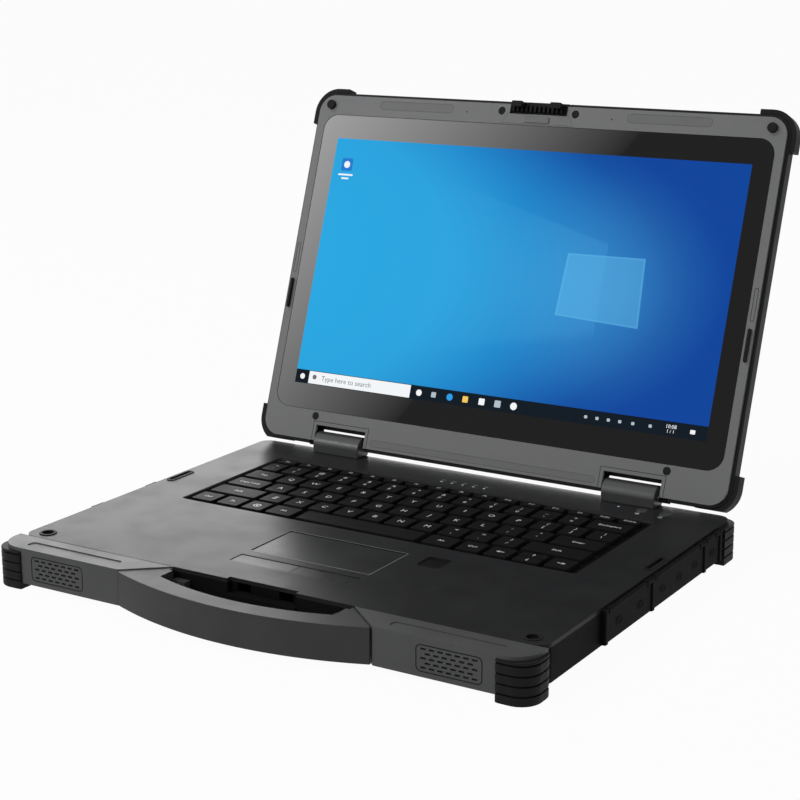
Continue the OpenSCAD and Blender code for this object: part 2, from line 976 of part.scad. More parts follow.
module keys_arrow() {
    key(row_x0 + arrow_start, arrow_mid - arrow_start, row_y(0), row_pitch);
    stacked_d = (row_pitch - key_gap - 1) / 2 + key_gap;
    key(row_x0 + arrow_mid, arrow_last - arrow_mid, row_y(0), stacked_d);
    key(row_x0 + arrow_mid, arrow_last - arrow_mid, row_y(0) + row_pitch - stacked_d, stacked_d);
    last_key(arrow_last, 0);
}

module keys_space() {
    key(row_x0 + space_start, space_end - space_start, row_y(0), row_pitch);
}

module keys_enter() {
    last_key(home_start + 11 * key_pitch, 2);
}

// Pocket in the keyboard frame round a key: the same cells, grown by the clearance
module pocket(x, l, y, d) {
    slab(x + key_gap / 2 - key_clear, y + key_gap / 2 - key_clear, pocket_floor,
        l - key_gap + 2 * key_clear, d - key_gap + 2 * key_clear, 9, key_r + key_clear);
}

module pocket_run(x, count, l, y, d) {
    for (i = [0 : count - 1])
        pocket(x + i * l, l, y, d);
}

module last_pocket(x, row) {
    pocket(row_x0 + x, row_l - x, row_y(row), row_pitch);
}

module pockets() {
    pocket_run(row_x0, 16, row_l / 16, row_y(5), half_row);
    pocket(row_x0, number_start, row_y(4), row_pitch);
    pocket_run(row_x0 + number_start, 12, key_pitch, row_y(4), row_pitch);
    last_pocket(number_start + 12 * key_pitch, 4);
    pocket(row_x0, upper_start, row_y(3), row_pitch);
    pocket_run(row_x0 + upper_start, 12, key_pitch, row_y(3), row_pitch);
    last_pocket(upper_start + 12 * key_pitch, 3);
    pocket(row_x0, home_start, row_y(2), row_pitch);
    pocket_run(row_x0 + home_start, 11, key_pitch, row_y(2), row_pitch);
    last_pocket(home_start + 11 * key_pitch, 2);
    pocket(row_x0, lower_start, row_y(1), row_pitch);
    pocket_run(row_x0 + lower_start, 10, key_pitch, row_y(1), row_pitch);
    last_pocket(lower_start + 10 * key_pitch, 1);
    for (cell = modifier_cells)
        pocket(row_x0 + cell[0] * key_pitch, cell[1] * key_pitch, row_y(0), row_pitch);
    pocket(row_x0 + space_start, space_end - space_start, row_y(0), row_pitch);
    pocket(row_x0 + arrow_start, arrow_mid - arrow_start, row_y(0), row_pitch);
    pocket(row_x0 + arrow_mid, arrow_last - arrow_mid, row_y(0), row_pitch);
    last_pocket(arrow_last, 0);
}

module keyboard_frame() {
    color("#0c0c0d")
        place_base()
            difference() {
                slab(well_x0 - frame_flange, well_y - frame_flange, frame_bottom,
                    well_w + 2 * frame_flange, well_d + 2 * frame_flange, -deck_t - frame_bottom, 3);
                pockets();
            }
}

module function_keys() {
    color("#131314")
        place_base()
            keys_function();
}

module number_keys() {
    color("#131314")
        place_base()
            keys_number();
}

module upper_letter_keys() {
    color("#131314")
        place_base()
            keys_upper();
}

module home_letter_keys() {
    color("#131314")
        place_base()
            keys_home();
}

module lower_letter_keys() {
    color("#131314")
        place_base()
            keys_lower();
}

module modifier_keys() {
    color("#131314")
        place_base()
            keys_modifier();
}

module arrow_keys() {
    color("#131314")
        place_base()
            keys_arrow();
}

module space_bar() {
    color("#131314")
        place_base()
            keys_space();
}

module enter_key() {
    color("#131314")
        place_base()
            keys_enter();
}

// Controls ------------------------------------------------------------------

flange = 1.6;

module touchpad() {
    color("#161617")
        place_base() {
            slab(-pad_w / 2 + 0.3, pad_y + 0.3, -deck_t - 0.01, pad_w - 0.6, pad_d - 0.6, deck_t - 0.4, 1.2);
            slab(-pad_w / 2 - flange, pad_y - flange, -deck_t - 1.4, pad_w + 2 * flange,
                pad_d + 2 * flange, 1.4, 1.5);
        }
}

// Left or right button under the touchpad
module pad_button(side) {
    half = pad_w / 2 - move_clear;
    split = 0.2;
    x0 = side < 0 ? -half : split;
    slab(x0, pad_button_y + move_clear, -deck_t - 0.01, half - split, pad_button_d - 2 * move_clear,
        deck_t - 0.3, 0.8);
    slab(x0 + 2, pad_button_y - flange, -deck_t - 1, half - split - 4, pad_button_d + 2 * flange, 1, 0.8);
}

module touchpad_button_left() {
    color("#1b1b1c")
        place_base()
            pad_button(-1);
}

module touchpad_button_right() {
    color("#1b1b1c")
        place_base()
            pad_button(1);
}

module fingerprint_sensor() {
    color("#0e0e0f")
        place_base() {
            slab(finger_x + 0.1, finger_y + 0.1, -deck_t - 0.01, finger_w - 0.2, finger_d - 0.2,
                deck_t - 0.5, finger_r - 0.1);
            slab(finger_x - 1.2, finger_y - 1.2, -deck_t - 1.2, finger_w + 2.4, finger_d + 2.4, 1.2,
                finger_r);
        }
}

module round_button(x) {
    translate([x, round_button_y, -deck_t - 0.01])
        cylinder(d = round_button_dia, h = deck_t + 0.3);
    translate([x, round_button_y, -deck_t - 1])
        cylinder(d = round_button_dia + 2 * flange, h = 1);
}

module power_button() {
    color("#242527")
        place_base()
            round_button(round_button_x + round_button_pitch);
}

module mode_button() {
    color("#242527")
        place_base()
            round_button(round_button_x);
}

module indicator_lights() {
    color("#c8d4da")
        place_base()
            for (p = light_spots)
                translate([p[0], p[1], -deck_t - 0.8]) {
                    cylinder(r = light_r - 0.03, h = deck_t + 0.8);
                    cylinder(r = light_r + 0.6, h = 0.8);
                }
}

// Inside ----------------------------------------------------------------------

module motherboard() {
    color("#14532d")
        place_base() {
            difference() {
                union() {
                    box(board_x0, board_x1, board_y0, board_y1, board_z, board_z + board_t);
                    box(board_x1 - 30, board_x1, column_y + column_w + 2, board_y0 + 1, board_z,
                        board_z + board_t);
                }
                for (x = [board_x0 + 6, board_x1 - 8], y = [board_y0 + 6, board_y1 - 6])
                    translate([x, y, board_z - 1])
                        cylinder(r = 1.6, h = board_t + 2);
                rear_clear();
            }
            box(-20, 18, 158, 196, board_z + board_t, board_z + board_t + 1.6);
            for (i = [0, 1])
                box(46, 114, 150 + 28 * i, 172 + 28 * i, board_z + board_t, board_z + board_t + 3.6);
        }
}

// Keeps the board out of the walls round the rear bumpers
module rear_clear() {
    box(half_w - 22.5, half_w, base_d - 24, base_d, -case_h, 0);
}

// A socket's metal shell, open towards +X
module socket_shell(y, w, h) {
    depth = 13;
    wall = 0.6;
    difference() {
        box(board_x1 - depth, board_x1 + 1.4, y, y + w, port_floor, port_floor + h);
        box(board_x1 - depth + wall, board_x1 + 2, y + wall, y + w - wall, port_floor + wall,
            port_floor + h - wall);
    }
}

usb_w = 13.4;
usb_h = 6.2;
lan_w = 15.6;
lan_h = 9.8;

module port_sockets() {
    color("#8d9094")
        place_base() {
            for (i = [0, 1])
                socket_shell(columns[0] + column_w + 8 + 20 * i, usb_w, usb_h);
            socket_shell(columns[1] + column_w + 8, lan_w, lan_h);
            socket_shell(columns[1] + column_w + 32, usb_w, usb_h);
            socket_shell(columns[1] + column_w + 51, 15, usb_h - 0.6);
            for (i = [0, 1])
                tongue(columns[0] + column_w + 8 + 20 * i);
            tongue(columns[1] + column_w + 32);
            audio_jack();
        }
}

// Contact tongue inside a socket
module tongue(y) {
    box(board_x1 - 12.6, board_x1 - 1, y + 2, y + usb_w - 2, port_floor + usb_h - 2.9,
        port_floor + usb_h - 1.2);
}

module audio_jack() {
    y = columns[2] + column_w + 8.5;
    difference() {
        box(board_x1 - 11, board_x1 + 1.4, y - 3.4, y + 3.4, port_floor, port_floor + 6.4);
        translate([0, y, port_floor + 3.2])
            rod_x(board_x1 - 10, board_x1 + 2, 1.8);
    }
}

module battery_pack() {
    color("#2b2d31")
        place_base()
            difference() {
                slab(cover_mid_x - cover_size_x / 2 + 5, cover_mid_y - cover_size_y / 2 + 5, floor_z,
                    cover_size_x - 10, cover_size_y - 12, 11.5, 3);
                for (i = [1 : 3])
                    box(cover_mid_x - cover_size_x / 2 + 5 + i * (cover_size_x - 10) / 4 - 0.5,
                        cover_mid_x - cover_size_x / 2 + 5 + i * (cover_size_x - 10) / 4 + 0.5,
                        0, base_d, floor_z + 11, floor_z + 12);
            }
}

module solid_state_drive() {
    color("#5b5f66")
        place_base()
            slab(-half_w + case_wall + 1.5, 14, floor_z, 69.9, 100, 7, 2);
}

module fan_housing() {
    color("#26282b")
        place_base() {
            fan_shaft();
            difference() {
                slab(fan_x - fan_box / 2, fan_y - fan_box / 2, floor_z, fan_box, fan_box, fan_h, 5);
                translate([fan_x, fan_y, floor_z + 1.2])
                    cylinder(d = fan_dia + 5, h = fan_h - 2.4);
                box(fan_x - fan_box / 2 - 1, fan_x, fan_y - 24, fan_y + 24, floor_z + 1.2,
                    floor_z + fan_h - 1.2);
                translate([fan_x, fan_y, floor_z + fan_h - 2])
                    cylinder(d = fan_dia - 10, h = 4);
                difference() {
                    translate([fan_x, fan_y, floor_z - 1])
                        cylinder(d = fan_dia - 10, h = 4);
                    box(fan_x - fan_dia, fan_x + fan_dia, fan_y - 4, fan_y + 4, floor_z - 2, floor_z + 4);
                    translate([fan_x, fan_y, floor_z - 1])
                        cylinder(r = 7, h = 4);
                }
            }
        }
}

module fan_shaft() {
    translate([fan_x, fan_y, floor_z])
        cylinder(r = fan_shaft_r, h = fan_h - 3.8);
}

module fan_impeller() {
    color("#101112")
        place_base()
            translate([fan_x, fan_y, floor_z + 1.6]) {
                difference() {
                    cylinder(r = 9, h = fan_h - 3.4);
                    translate([0, 0, -1])
                        cylinder(r = fan_shaft_r + pin_clear, h = fan_h - 4);
                }
                difference() {
                    cylinder(d = fan_dia, h = 0.8);
                    translate([0, 0, -1])
                        cylinder(r = 8.5, h = 3);
                }
                for (i = [0 : 22])
                    rotate([0, 0, i * 360 / 23])
                        translate([8.6, -0.4, 0.4])
                            rotate([0, 0, 14])
                                cube([fan_dia / 2 - 10, 0.8, fan_h - 4]);
            }
}

module heat_sink() {
    sink_x0 = -half_w + case_wall + 0.6;
    sink_x1 = fan_x - fan_box / 2 - 0.3;
    pipe_z = floor_z + fan_h + 2.1;
    color("#b0713a")
        place_base() {
            for (i = [0 : 15])
                box(sink_x0, sink_x1, fan_y - 24 + 3.1 * i, fan_y - 23.4 + 3.1 * i, floor_z + 0.3,
                    floor_z + fan_h);
            box(sink_x0, sink_x1, fan_y - 24, fan_y + 24, floor_z + fan_h - 0.01, floor_z + fan_h + 0.8);
            box(sink_x0 + 1, sink_x1 - 1, fan_y - 24, fan_y + 36, floor_z + fan_h + 0.7,
                floor_z + fan_h + 2.8);
            box(sink_x0 + 1, -6, fan_y + 33.5, fan_y + 38, floor_z + fan_h + 0.7, floor_z + fan_h + 2.8);
            box(-10, -5.5, 178, fan_y + 38, floor_z + fan_h + 0.7, floor_z + fan_h + 2.8);
            box(-22, 20, 156, 198, pipe_z - 1.4, pipe_z - 0.4);
            box(-18, 16, 160, 194, board_z + board_t + 1.6, pipe_z - 1.39);
        }
}

// Doors ---------------------------------------------------------------------

// A door between two columns with its hinge barrel along the top
module port_door(y0, y1) {
    inner0 = y0 + column_w;
    difference() {
        union() {
            box(door_x, door_x + door_t, inner0 + 0.4, y1 - 0.4, door_bottom + 0.3, door_top);
            box(door_x, door_x + door_t, inner0 + lug_l - 1, y1 - lug_l + 1, door_top - 1, door_axis_z);
            translate([door_axis_x, 0, door_axis_z])
                rod_y(inner0 + lug_l - 1, y1 - lug_l + 1, barrel_r);
        }
        translate([door_axis_x, 0, door_axis_z])
            rod_y(inner0, y1, door_pin_dia / 2 + pin_clear);
    }
    box(door_x - 1.4, door_x + 0.1, inner0 + 3.6, y1 - 3.6, port_floor + 12 - 9, port_floor + 12 - 7);
}

module port_door_front() {
    color("#262729")
        place_base()
            port_door(columns[0], columns[1]);
}

module port_door_middle() {
    color("#262729")
        place_base()
            port_door(columns[1], columns[2]);
}

module port_door_rear() {
    color("#262729")
        place_base()
            port_door(columns[2], columns[3]);
}

module port_door_left() {
    color("#262729")
        place_base()
            mirror([1, 0, 0])
                port_door(left_columns[0], left_columns[1]);
}

module door_pin(y0, y1) {
    translate([door_axis_x, 0, door_axis_z])
        rod_y(y0 + column_w - 1.6, y1 + 1.6, door_pin_dia / 2);
}

module door_pins() {
    color("#9a9da1")
        place_base() {
            for (i = [0 : len(columns) - 2])
                door_pin(columns[i], columns[i + 1]);
            mirror([1, 0, 0])
                door_pin(left_columns[0], left_columns[1]);
        }
}

// Hinges --------------------------------------------------------------------

module hinge_blocks() {
    color("#4b4d50")
        place_base()
            both_sides()
                difference() {
                    union() {
                        translate([0, hinge_y, hinge_z])
                            rod_x(block_x0, block_x0 + block_l, block_r);
                        box(block_x0, block_x0 + block_l, hinge_y - block_r, base_d, 0, hinge_z);
                    }
                    box(block_x0 - 1, block_x0 + block_l + 1, 0, base_d, -9, 0);
                    translate([0, hinge_y, hinge_z])
                        rod_x(block_x0 + 8, block_x0 + block_l + 1, hinge_pin_dia / 2 + pin_clear);
                }
}

leaf_x0 = block_x0 + block_l + 0.9;
leaf_l = 5.4;

module hinge_pins() {
    color("#9a9da1")
        place_base()
            both_sides()
                translate([0, hinge_y, hinge_z])
                    rod_x(block_x0 + 9, leaf_x0 + leaf_l - 1, hinge_pin_dia / 2);
}

// Lid -------------------------------------------------------------------------

notch_gap = 1.8;
bezel_notch_v = 11;
cover_notch_v = 8.8;

// Room in the lid round the hinge blocks
module hinge_notches(v) {
    both_sides()
        box(block_x0 - notch_gap, block_x0 + block_l + notch_gap, -9, v, -20, 20);
}

// Room in the lid cover for the leaves that carry the pins
module leaf_notches(gap) {
    both_sides()
        box(block_x0 + block_l, leaf_x0 + leaf_l + gap, -9, 6 + gap, -20, cover_front);
}

module hinge_leaves() {
    color("#85888c")
        place_lid()
            both_sides()
                difference() {
                    union() {
                        box(leaf_x0, leaf_x0 + leaf_l, -axis_edge - 2.6, 6, lid_back + 2, cover_front - 0.1);
                        box(leaf_x0, leaf_x0 + 26, 6 - 0.01, 16, lid_back + lid_wall,
                            lid_back + lid_wall + 2);
                    }
                    translate([0, -axis_edge, 0])
                        rod_x(leaf_x0 - 1, leaf_x0 + leaf_l - 0.8, hinge_pin_dia / 2 + pin_clear);
                }
}

module lid_cover() {
    color("#1d1e20")
        place_lid()
            difference() {
                slab(-cover_w / 2, -lid_border, lid_back, cover_w, cover_l, lid_t - bezel_t, cover_r);
                slab(-bezel_w / 2 + lid_wall, 0.6 + lid_wall, lid_back + lid_wall,
                    bezel_w - 2 * lid_wall, bezel_l - 2 * lid_wall - 0.6, lid_t, bezel_r - lid_wall);
                hinge_notches(cover_notch_v);
                leaf_notches(0.3);
                latch_slot();
            }
}

module lid_bezel() {
    color("#58595b")
        place_lid()
            difference() {
                slab(-bezel_w / 2, 0, cover_front, bezel_w, bezel_l, bezel_t, bezel_r);
                slab(-glass_w / 2, glass_v, cover_front - 1, glass_w, glass_l, bezel_t + 2, glass_r);
                hinge_notches(bezel_notch_v);
                latch_slot();
                antenna_strips(0);
                camera_plate(0);
                plug_spots(plug_r);
            }
}

module cover_glass() {
    color("#050607")
        place_lid()
            slab(-glass_w / 2 + 0.1, glass_v + 0.1, cover_front - 0.3, glass_w - 0.2, glass_l - 0.2,
                bezel_t + 0.3 - glass_sink, glass_r - 0.1);
}

// Display panel with its metal rim, filling the lid behind the glass
module display_panel() {
    rim = 5;
    color("#2066b8")
        place_lid() {
            slab(-picture_w / 2, picture_v, cover_front - 3.3, picture_w, picture_l, 3, 0.5);
            slab(-picture_w / 2 - rim, picture_v - rim, lid_back + lid_wall, picture_w + 2 * rim,
                picture_l + 2 * rim, cover_front - 3.3 - lid_back - lid_wall + 0.01, 1);
        }
}

module lid_bumper_outline() {
    difference() {
        translate([0, -lid_border + cover_l / 2])
            rounded(cover_w + 2 * lid_bumper_t, cover_l + 2 * lid_bumper_t, cover_r + lid_bumper_t);
        translate([0, -lid_border + cover_l / 2])
            rounded(cover_w, cover_l, cover_r);
        square([cover_w + 2 * lid_bumper_t - 2 * lid_bumper_arm, 3 * cover_l], center = true);
        translate([0, -lid_border + cover_l / 2])
            square([2 * cover_w, cover_l + 2 * lid_bumper_t - 2 * lid_bumper_arm], center = true);
        square_between(-cover_w, cover_w, -9, -lid_border - 0.4);
    }
}

module lid_bumpers() {
    color("#151515")
        place_lid()
            translate([0, 0, bumper_back])
                linear_extrude(cover_front - 0.4 - bumper_back)
                    lid_bumper_outline();
}

module lid_pads() {
    color("#101010")
        place_lid()
            both_sides() {
                translate([peg_x, peg_v, axis_depth])
                    cylinder(r = peg_r, h = peg_h);
                translate([bar_x, bar_v, axis_depth])
                    linear_extrude(bar_h)
                        rounded(bar_w, bar_l, bar_w / 2 - 0.01);
            }
}

plug_r = 2.7;
plug_top = [27.5, bezel_l - 4.9];
plug_low = [132.4, 16.9];

module plug_spots(r) {
    both_sides()
        for (p = [plug_top, plug_low])
            translate([p[0], p[1], cover_front - 0.01])
                cylinder(r = r, h = bezel_t + 1);
}

module lid_screw_plugs() {
    color("#0b0b0b")
        place_lid()
            both_sides()
                for (p = [plug_top, plug_low])
                    translate([p[0], p[1], cover_front])
                        cylinder(r = plug_r - 0.02, h = bezel_t);
}

strip_t = 0.8;

module antenna_strips(gap) {
    both_sides()
        slab(65 + gap, bezel_l - 8.6 + gap, axis_depth - strip_t, 59 - 2 * gap, 6 - 2 * gap, 9, 2.9 - gap);
    slab(-85 + gap, 1.9 + gap, axis_depth - strip_t, 170 - 2 * gap, 4.6 - 2 * gap, 9, 2.2 - gap);
}

module antenna_covers() {
    color("#5e5f61")
        place_lid()
            intersection() {
                antenna_strips(0.1);
                slab(-bezel_w / 2, 0, axis_depth - 2, bezel_w, bezel_l, 2, 4);
            }
}

module camera_plate(gap) {
    translate([0, 0, cover_front - 1])
        linear_extrude(bezel_t + 3)
            polygon([
                [-27 + gap, bezel_l - 13 + gap],
                [27 - gap, bezel_l - 13 + gap],
                [23 - gap, bezel_l - 6.4],
                [-23 + gap, bezel_l - 6.4]
            ]);
}

lens_v = bezel_l - 10;
shutter_w = 18;
shutter_l = 4.2;

module camera_module() {
    color("#232426")
        place_lid() {
            intersection() {
                camera_plate(0.1);
                box(-40, 40, 0, bezel_l, cover_front - 1, axis_depth);
            }
            translate([-3, lens_v, lid_back + lid_wall])
                cylinder(r = 2.6, h = lid_t - bezel_t - lid_wall);
        }
}

module camera_shutter() {
    color("#2f3032")
        place_lid()
            slab(-shutter_w / 2, lens_v - shutter_l / 2, axis_depth + 0.02, shutter_w, shutter_l, 0.8, 0.8);
}

// Room for the latch slide in the lid's top edge
latch_v0 = bezel_l - 6;
slide_w = latch_w - 5;

module latch_slot() {
    box(-slide_w / 2 - 0.4, slide_w / 2 + 0.4, latch_v0 - 0.4, bezel_l + 9, lid_back + 2.2, 20);
}

// Ribbed slide with two hooks that catch under the keeper's lip
module latch_slide() {
    fin_n = 12;
    fin_pitch = (slide_w - 3) / fin_n;
    color("#101011")
        place_lid() {
            box(-slide_w / 2, slide_w / 2, latch_v0 + 0.3, bezel_l + lid_border, lid_back + 2.5,
                axis_depth - 2.2);
            for (i = [0 : fin_n - 1])
                box(-slide_w / 2 + 1.5 + i * fin_pitch, -slide_w / 2 + 1.5 + (i + 0.45) * fin_pitch,
                    latch_v0 + 1.2, bezel_l - 0.6, axis_depth - 2.3, axis_depth + 0.6);
            both_sides() {
                box(hook_x - hook_w / 2, hook_x + hook_w / 2, bezel_l - 0.8, bezel_l + 1.2,
                    axis_depth - 2.3, axis_depth + hook_h);
                box(hook_x - hook_w / 2, hook_x + hook_w / 2, bezel_l - 2.6, bezel_l - 0.7,
                    axis_depth + hook_h - 1.2, axis_depth + hook_h);
            }
        }
}

bottom_case();
top_deck();
service_cover();
case_screws();
front_rail_left();
front_rail_right();
carry_handle();
handle_screws();
bumper_front_left();
bumper_front_right();
bumper_rear_left();
bumper_rear_right();
speaker_left();
speaker_right();
latch_keeper();
deck_sockets();
keyboard_frame();
function_keys();
number_keys();
upper_letter_keys();
home_letter_keys();
lower_letter_keys();
modifier_keys();
arrow_keys();
space_bar();
enter_key();
touchpad();
touchpad_button_left();
touchpad_button_right();
fingerprint_sensor();
power_button();
mode_button();
indicator_lights();
motherboard();
port_sockets();
battery_pack();
solid_state_drive();
fan_housing();
fan_impeller();
heat_sink();
port_door_front();
port_door_middle();
port_door_rear();
port_door_left();
door_pins();
hinge_blocks();
hinge_pins();
hinge_leaves();
lid_cover();
lid_bezel();
cover_glass();
display_panel();
lid_bumpers();
lid_pads();
lid_screw_plugs();
antenna_covers();
camera_module();
camera_shutter();
latch_slide();
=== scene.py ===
"""Looks of a rugged laptop computer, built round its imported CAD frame."""
import json
import math

import bmesh
import bpy
from bpy.props import FloatProperty, FloatVectorProperty, IntProperty, PointerProperty
from mathutils import Matrix, Vector


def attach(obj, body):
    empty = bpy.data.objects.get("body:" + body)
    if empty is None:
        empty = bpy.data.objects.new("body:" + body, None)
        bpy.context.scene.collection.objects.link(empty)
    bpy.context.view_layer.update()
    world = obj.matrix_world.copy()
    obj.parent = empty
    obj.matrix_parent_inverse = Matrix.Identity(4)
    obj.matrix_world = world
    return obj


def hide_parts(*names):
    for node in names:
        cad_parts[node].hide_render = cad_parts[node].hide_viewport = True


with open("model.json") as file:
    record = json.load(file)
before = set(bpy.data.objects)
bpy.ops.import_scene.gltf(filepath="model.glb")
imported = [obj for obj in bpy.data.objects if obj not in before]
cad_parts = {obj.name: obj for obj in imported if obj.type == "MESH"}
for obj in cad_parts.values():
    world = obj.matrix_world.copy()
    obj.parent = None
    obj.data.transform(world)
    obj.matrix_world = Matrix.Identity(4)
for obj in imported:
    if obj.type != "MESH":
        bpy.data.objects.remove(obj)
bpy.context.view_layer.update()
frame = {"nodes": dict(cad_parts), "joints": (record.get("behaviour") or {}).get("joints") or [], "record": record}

bl_info = {
    "name": "Rugged Laptop Looks",
    "version": (1, 0, 0),
    "blender": (4, 5, 0),
    "location": "3D View > Sidebar > Laptop",
    "description": "Builds the shown surfaces of a rugged laptop round its mechanical frame",
    "category": "Object",
}

MM = 0.001
HARD_ANGLE = math.radians(28.0)  # edges that turn more than this are rounded
INK = 0.03 * MM  # how thick a printed mark is


# The frame's places ---------------------------------------------------------

def joint(name):
    """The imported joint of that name."""
    return next(j for j in frame["joints"] if j["name"] == name)


def lid_place():
    """Matrix of the lid's own frame: x across, y up the lid from its hinge axis, z out of the screen."""
    across = Vector((1, 0, 0))
    up = Vector(joint("latch_slide")["axis"]).normalized()
    out = across.cross(up)
    turn = Matrix((across, up, out)).transposed().to_4x4()
    return Matrix.Translation(Vector(joint("lid_hinge")["pos_m"])) @ turn


BASE = Matrix.Identity(4)
LID = lid_place()
BODY_OF = {node: body for body, nodes in frame["record"]["behaviour"]["bodies"].items() for node in nodes}


def extent(node, place=BASE):
    """Lowest and highest corner of a node, measured in the frame of place."""
    back = place.inverted()
    points = [back @ v.co for v in frame["nodes"][node].data.vertices]
    lo = Vector(min(p[i] for p in points) for i in range(3))
    hi = Vector(max(p[i] for p in points) for i in range(3))
    return lo, hi


def merged_copy(node):
    """A bmesh of a node's surface, with its doubled points merged."""
    bm = bmesh.new()
    bm.from_mesh(frame["nodes"][node].data)
    bmesh.ops.remove_doubles(bm, verts=bm.verts, dist=0.002 * MM)
    return bm


def separate_extents(node, place=BASE):
    """Lowest and highest corner of each separate solid of a node, in the frame of place."""
    bm = merged_copy(node)
    back = place.inverted()
    seen, found = set(), []
    for start in bm.verts:
        if start in seen:
            continue
        group, queue = [], [start]
        seen.add(start)
        while queue:
            vert = queue.pop()
            group.append(back @ vert.co)
            for edge in vert.link_edges:
                other = edge.other_vert(vert)
                if other not in seen:
                    seen.add(other)
                    queue.append(other)
        lo = Vector(min(p[i] for p in group) for i in range(3))
        hi = Vector(max(p[i] for p in group) for i in range(3))
        found.append((lo, hi))
    bm.free()
    return found


# Finishes -------------------------------------------------------------------

class Field:
    """A value or colour that changes over a surface, which can be used in expressions."""

    def __init__(self, finish, socket):
        self.finish = finish
        self.socket = socket

    def _math(self, operation, first, second=None):
        values = {0: first} if second is None else {0: first, 1: second}
        return self.finish.node("ShaderNodeMath", {"operation": operation}, values)

    def __add__(self, other):
        return self._math("ADD", self, other)

    def __radd__(self, other):
        return self._math("ADD", other, self)

    def __sub__(self, other):
        return self._math("SUBTRACT", self, other)

    def __rsub__(self, other):
        return self._math("SUBTRACT", other, self)

    def __mul__(self, other):
        return self._math("MULTIPLY", self, other)

    def __rmul__(self, other):
        return self._math("MULTIPLY", other, self)

    def __truediv__(self, other):
        return self._math("DIVIDE", self, other)

    def __pow__(self, other):
        return self._math("POWER", self, other)

    def __abs__(self):
        return self._math("ABSOLUTE", self)

    def __lt__(self, other):
        return self._math("LESS_THAN", self, other)

    def between(self, low, high):
        """0 at low and below, 1 at high and above, and smooth between them."""
        return self.finish.node(
            "ShaderNodeMapRange", {"interpolation_type": "SMOOTHSTEP"},
            {0: self, 1: low, 2: high, 3: 0.0, 4: 1.0})


class Finish:
    """A material, with its nodes made as they are needed."""

    def __init__(self, name, roughness=0.5, specular=0.5, metallic=0.0):
        self.material = bpy.data.materials.new(name)
        self.material.use_nodes = True
        self.tree = self.material.node_tree
        self.shader = self.tree.nodes["Principled BSDF"]
        self.shader.inputs["Roughness"].default_value = roughness
        self.shader.inputs["Specular IOR Level"].default_value = specular
        self.shader.inputs["Metallic"].default_value = metallic

    def node(self, kind, settings=None, values=None, output=0):
        """A node of that kind: its settings first, then the values or links of its inputs."""
        node = self.tree.nodes.new(kind)
        for key, value in (settings or {}).items():
            if key == "stops":
                self._set_stops(node.color_ramp, value)
            else:
                setattr(node, key, value)
        for key, value in (values or {}).items():
            if isinstance(value, Field):
                self.tree.links.new(value.socket, node.inputs[key])
            else:
                node.inputs[key].default_value = value
        return Field(self, node.outputs[output])

    @staticmethod
    def _set_stops(ramp, stops):
        while len(ramp.elements) < len(stops):
            ramp.elements.new(1.0)
        for element, (place, colour) in zip(ramp.elements, stops):
            element.position = place
            element.color = (*colour, 1.0)

    def feed(self, socket, value):
        """Gives the shader's socket a field or a constant."""
        if isinstance(value, Field):
            self.tree.links.new(value.socket, self.shader.inputs[socket])
        else:
            self.shader.inputs[socket].default_value = value

    def place(self, scale=(1.0, 1.0, 1.0), output="Object"):
        """Points of the object in metres, or of its UV map, scaled along each axis."""
        point = self.node("ShaderNodeTexCoord", output=output)
        return self.node("ShaderNodeMapping", None, {"Vector": point, "Scale": scale})

    def noise(self, scale, detail=2.0, rough=0.5, point=None):
        point = point or self.place()
        values = {"Vector": point, "Scale": scale, "Detail": detail, "Roughness": rough}
        return self.node("ShaderNodeTexNoise", None, values)

    def mix(self, factor, low, high):
        """Colour between low and high."""
        values = {0: factor}
        for key, colour in ((6, low), (7, high)):
            values[key] = colour if isinstance(colour, Field) else (*colour, 1.0)
        return self.node("ShaderNodeMix", {"data_type": "RGBA"}, values, output=2)

    def bump(self, height, strength, depth):
        values = {"Height": height, "Strength": strength, "Distance": depth}
        self.feed("Normal", self.node("ShaderNodeBump", None, values))


def screen_colour(red, green, blue):
    """A display colour of 0 to 255 as a linear one."""
    levels = (red, green, blue)
    return tuple(((c / 255 + 0.055) / 1.055) ** 2.4 if c > 10 else c / 255 / 12.92 for c in levels)


def shade(colour, factor):
    """The colour made darker or lighter."""
    return tuple(min(1.0, c * factor) for c in colour)


def grained(name, colour, roughness, specular=0.5, grain=2600.0, depth=0.02, wear=0.12):
    """Moulded or painted surface: fine spark-eroded grain, faint mottling and hand-rubbed patches."""
    finish = Finish(name, roughness, specular)
    fine = finish.noise(grain, 3.0, 0.6)
    broad = finish.noise(38.0, 4.0, 0.55)
    patches = broad.between(0.35, 0.7)
    finish.feed("Base Color", finish.mix(
        fine * 0.55 + patches * 0.45, shade(colour, 1 - wear), shade(colour, 1 + wear)))
    finish.feed("Roughness", roughness - 0.05 + patches * 0.06 + fine * 0.05)
    finish.bump(fine, 0.35, depth * MM)
    return finish.material


def rubber(name, colour):
    """Soft moulded rubber with a coarse matt grain and paler dust in its low spots."""
    roughness = 0.55
    finish = Finish(name, roughness, 0.1)
    grain = finish.noise(1900.0, 3.0, 0.65)
    dust = finish.noise(60.0, 5.0, 0.6).between(0.5, 0.8)
    finish.feed("Base Color", finish.mix(dust * 0.5 + grain * 0.3, colour, shade(colour, 1.7)))
    finish.feed("Roughness", roughness + dust * 0.12)
    finish.bump(grain, 0.4, 0.03 * MM)
    return finish.material


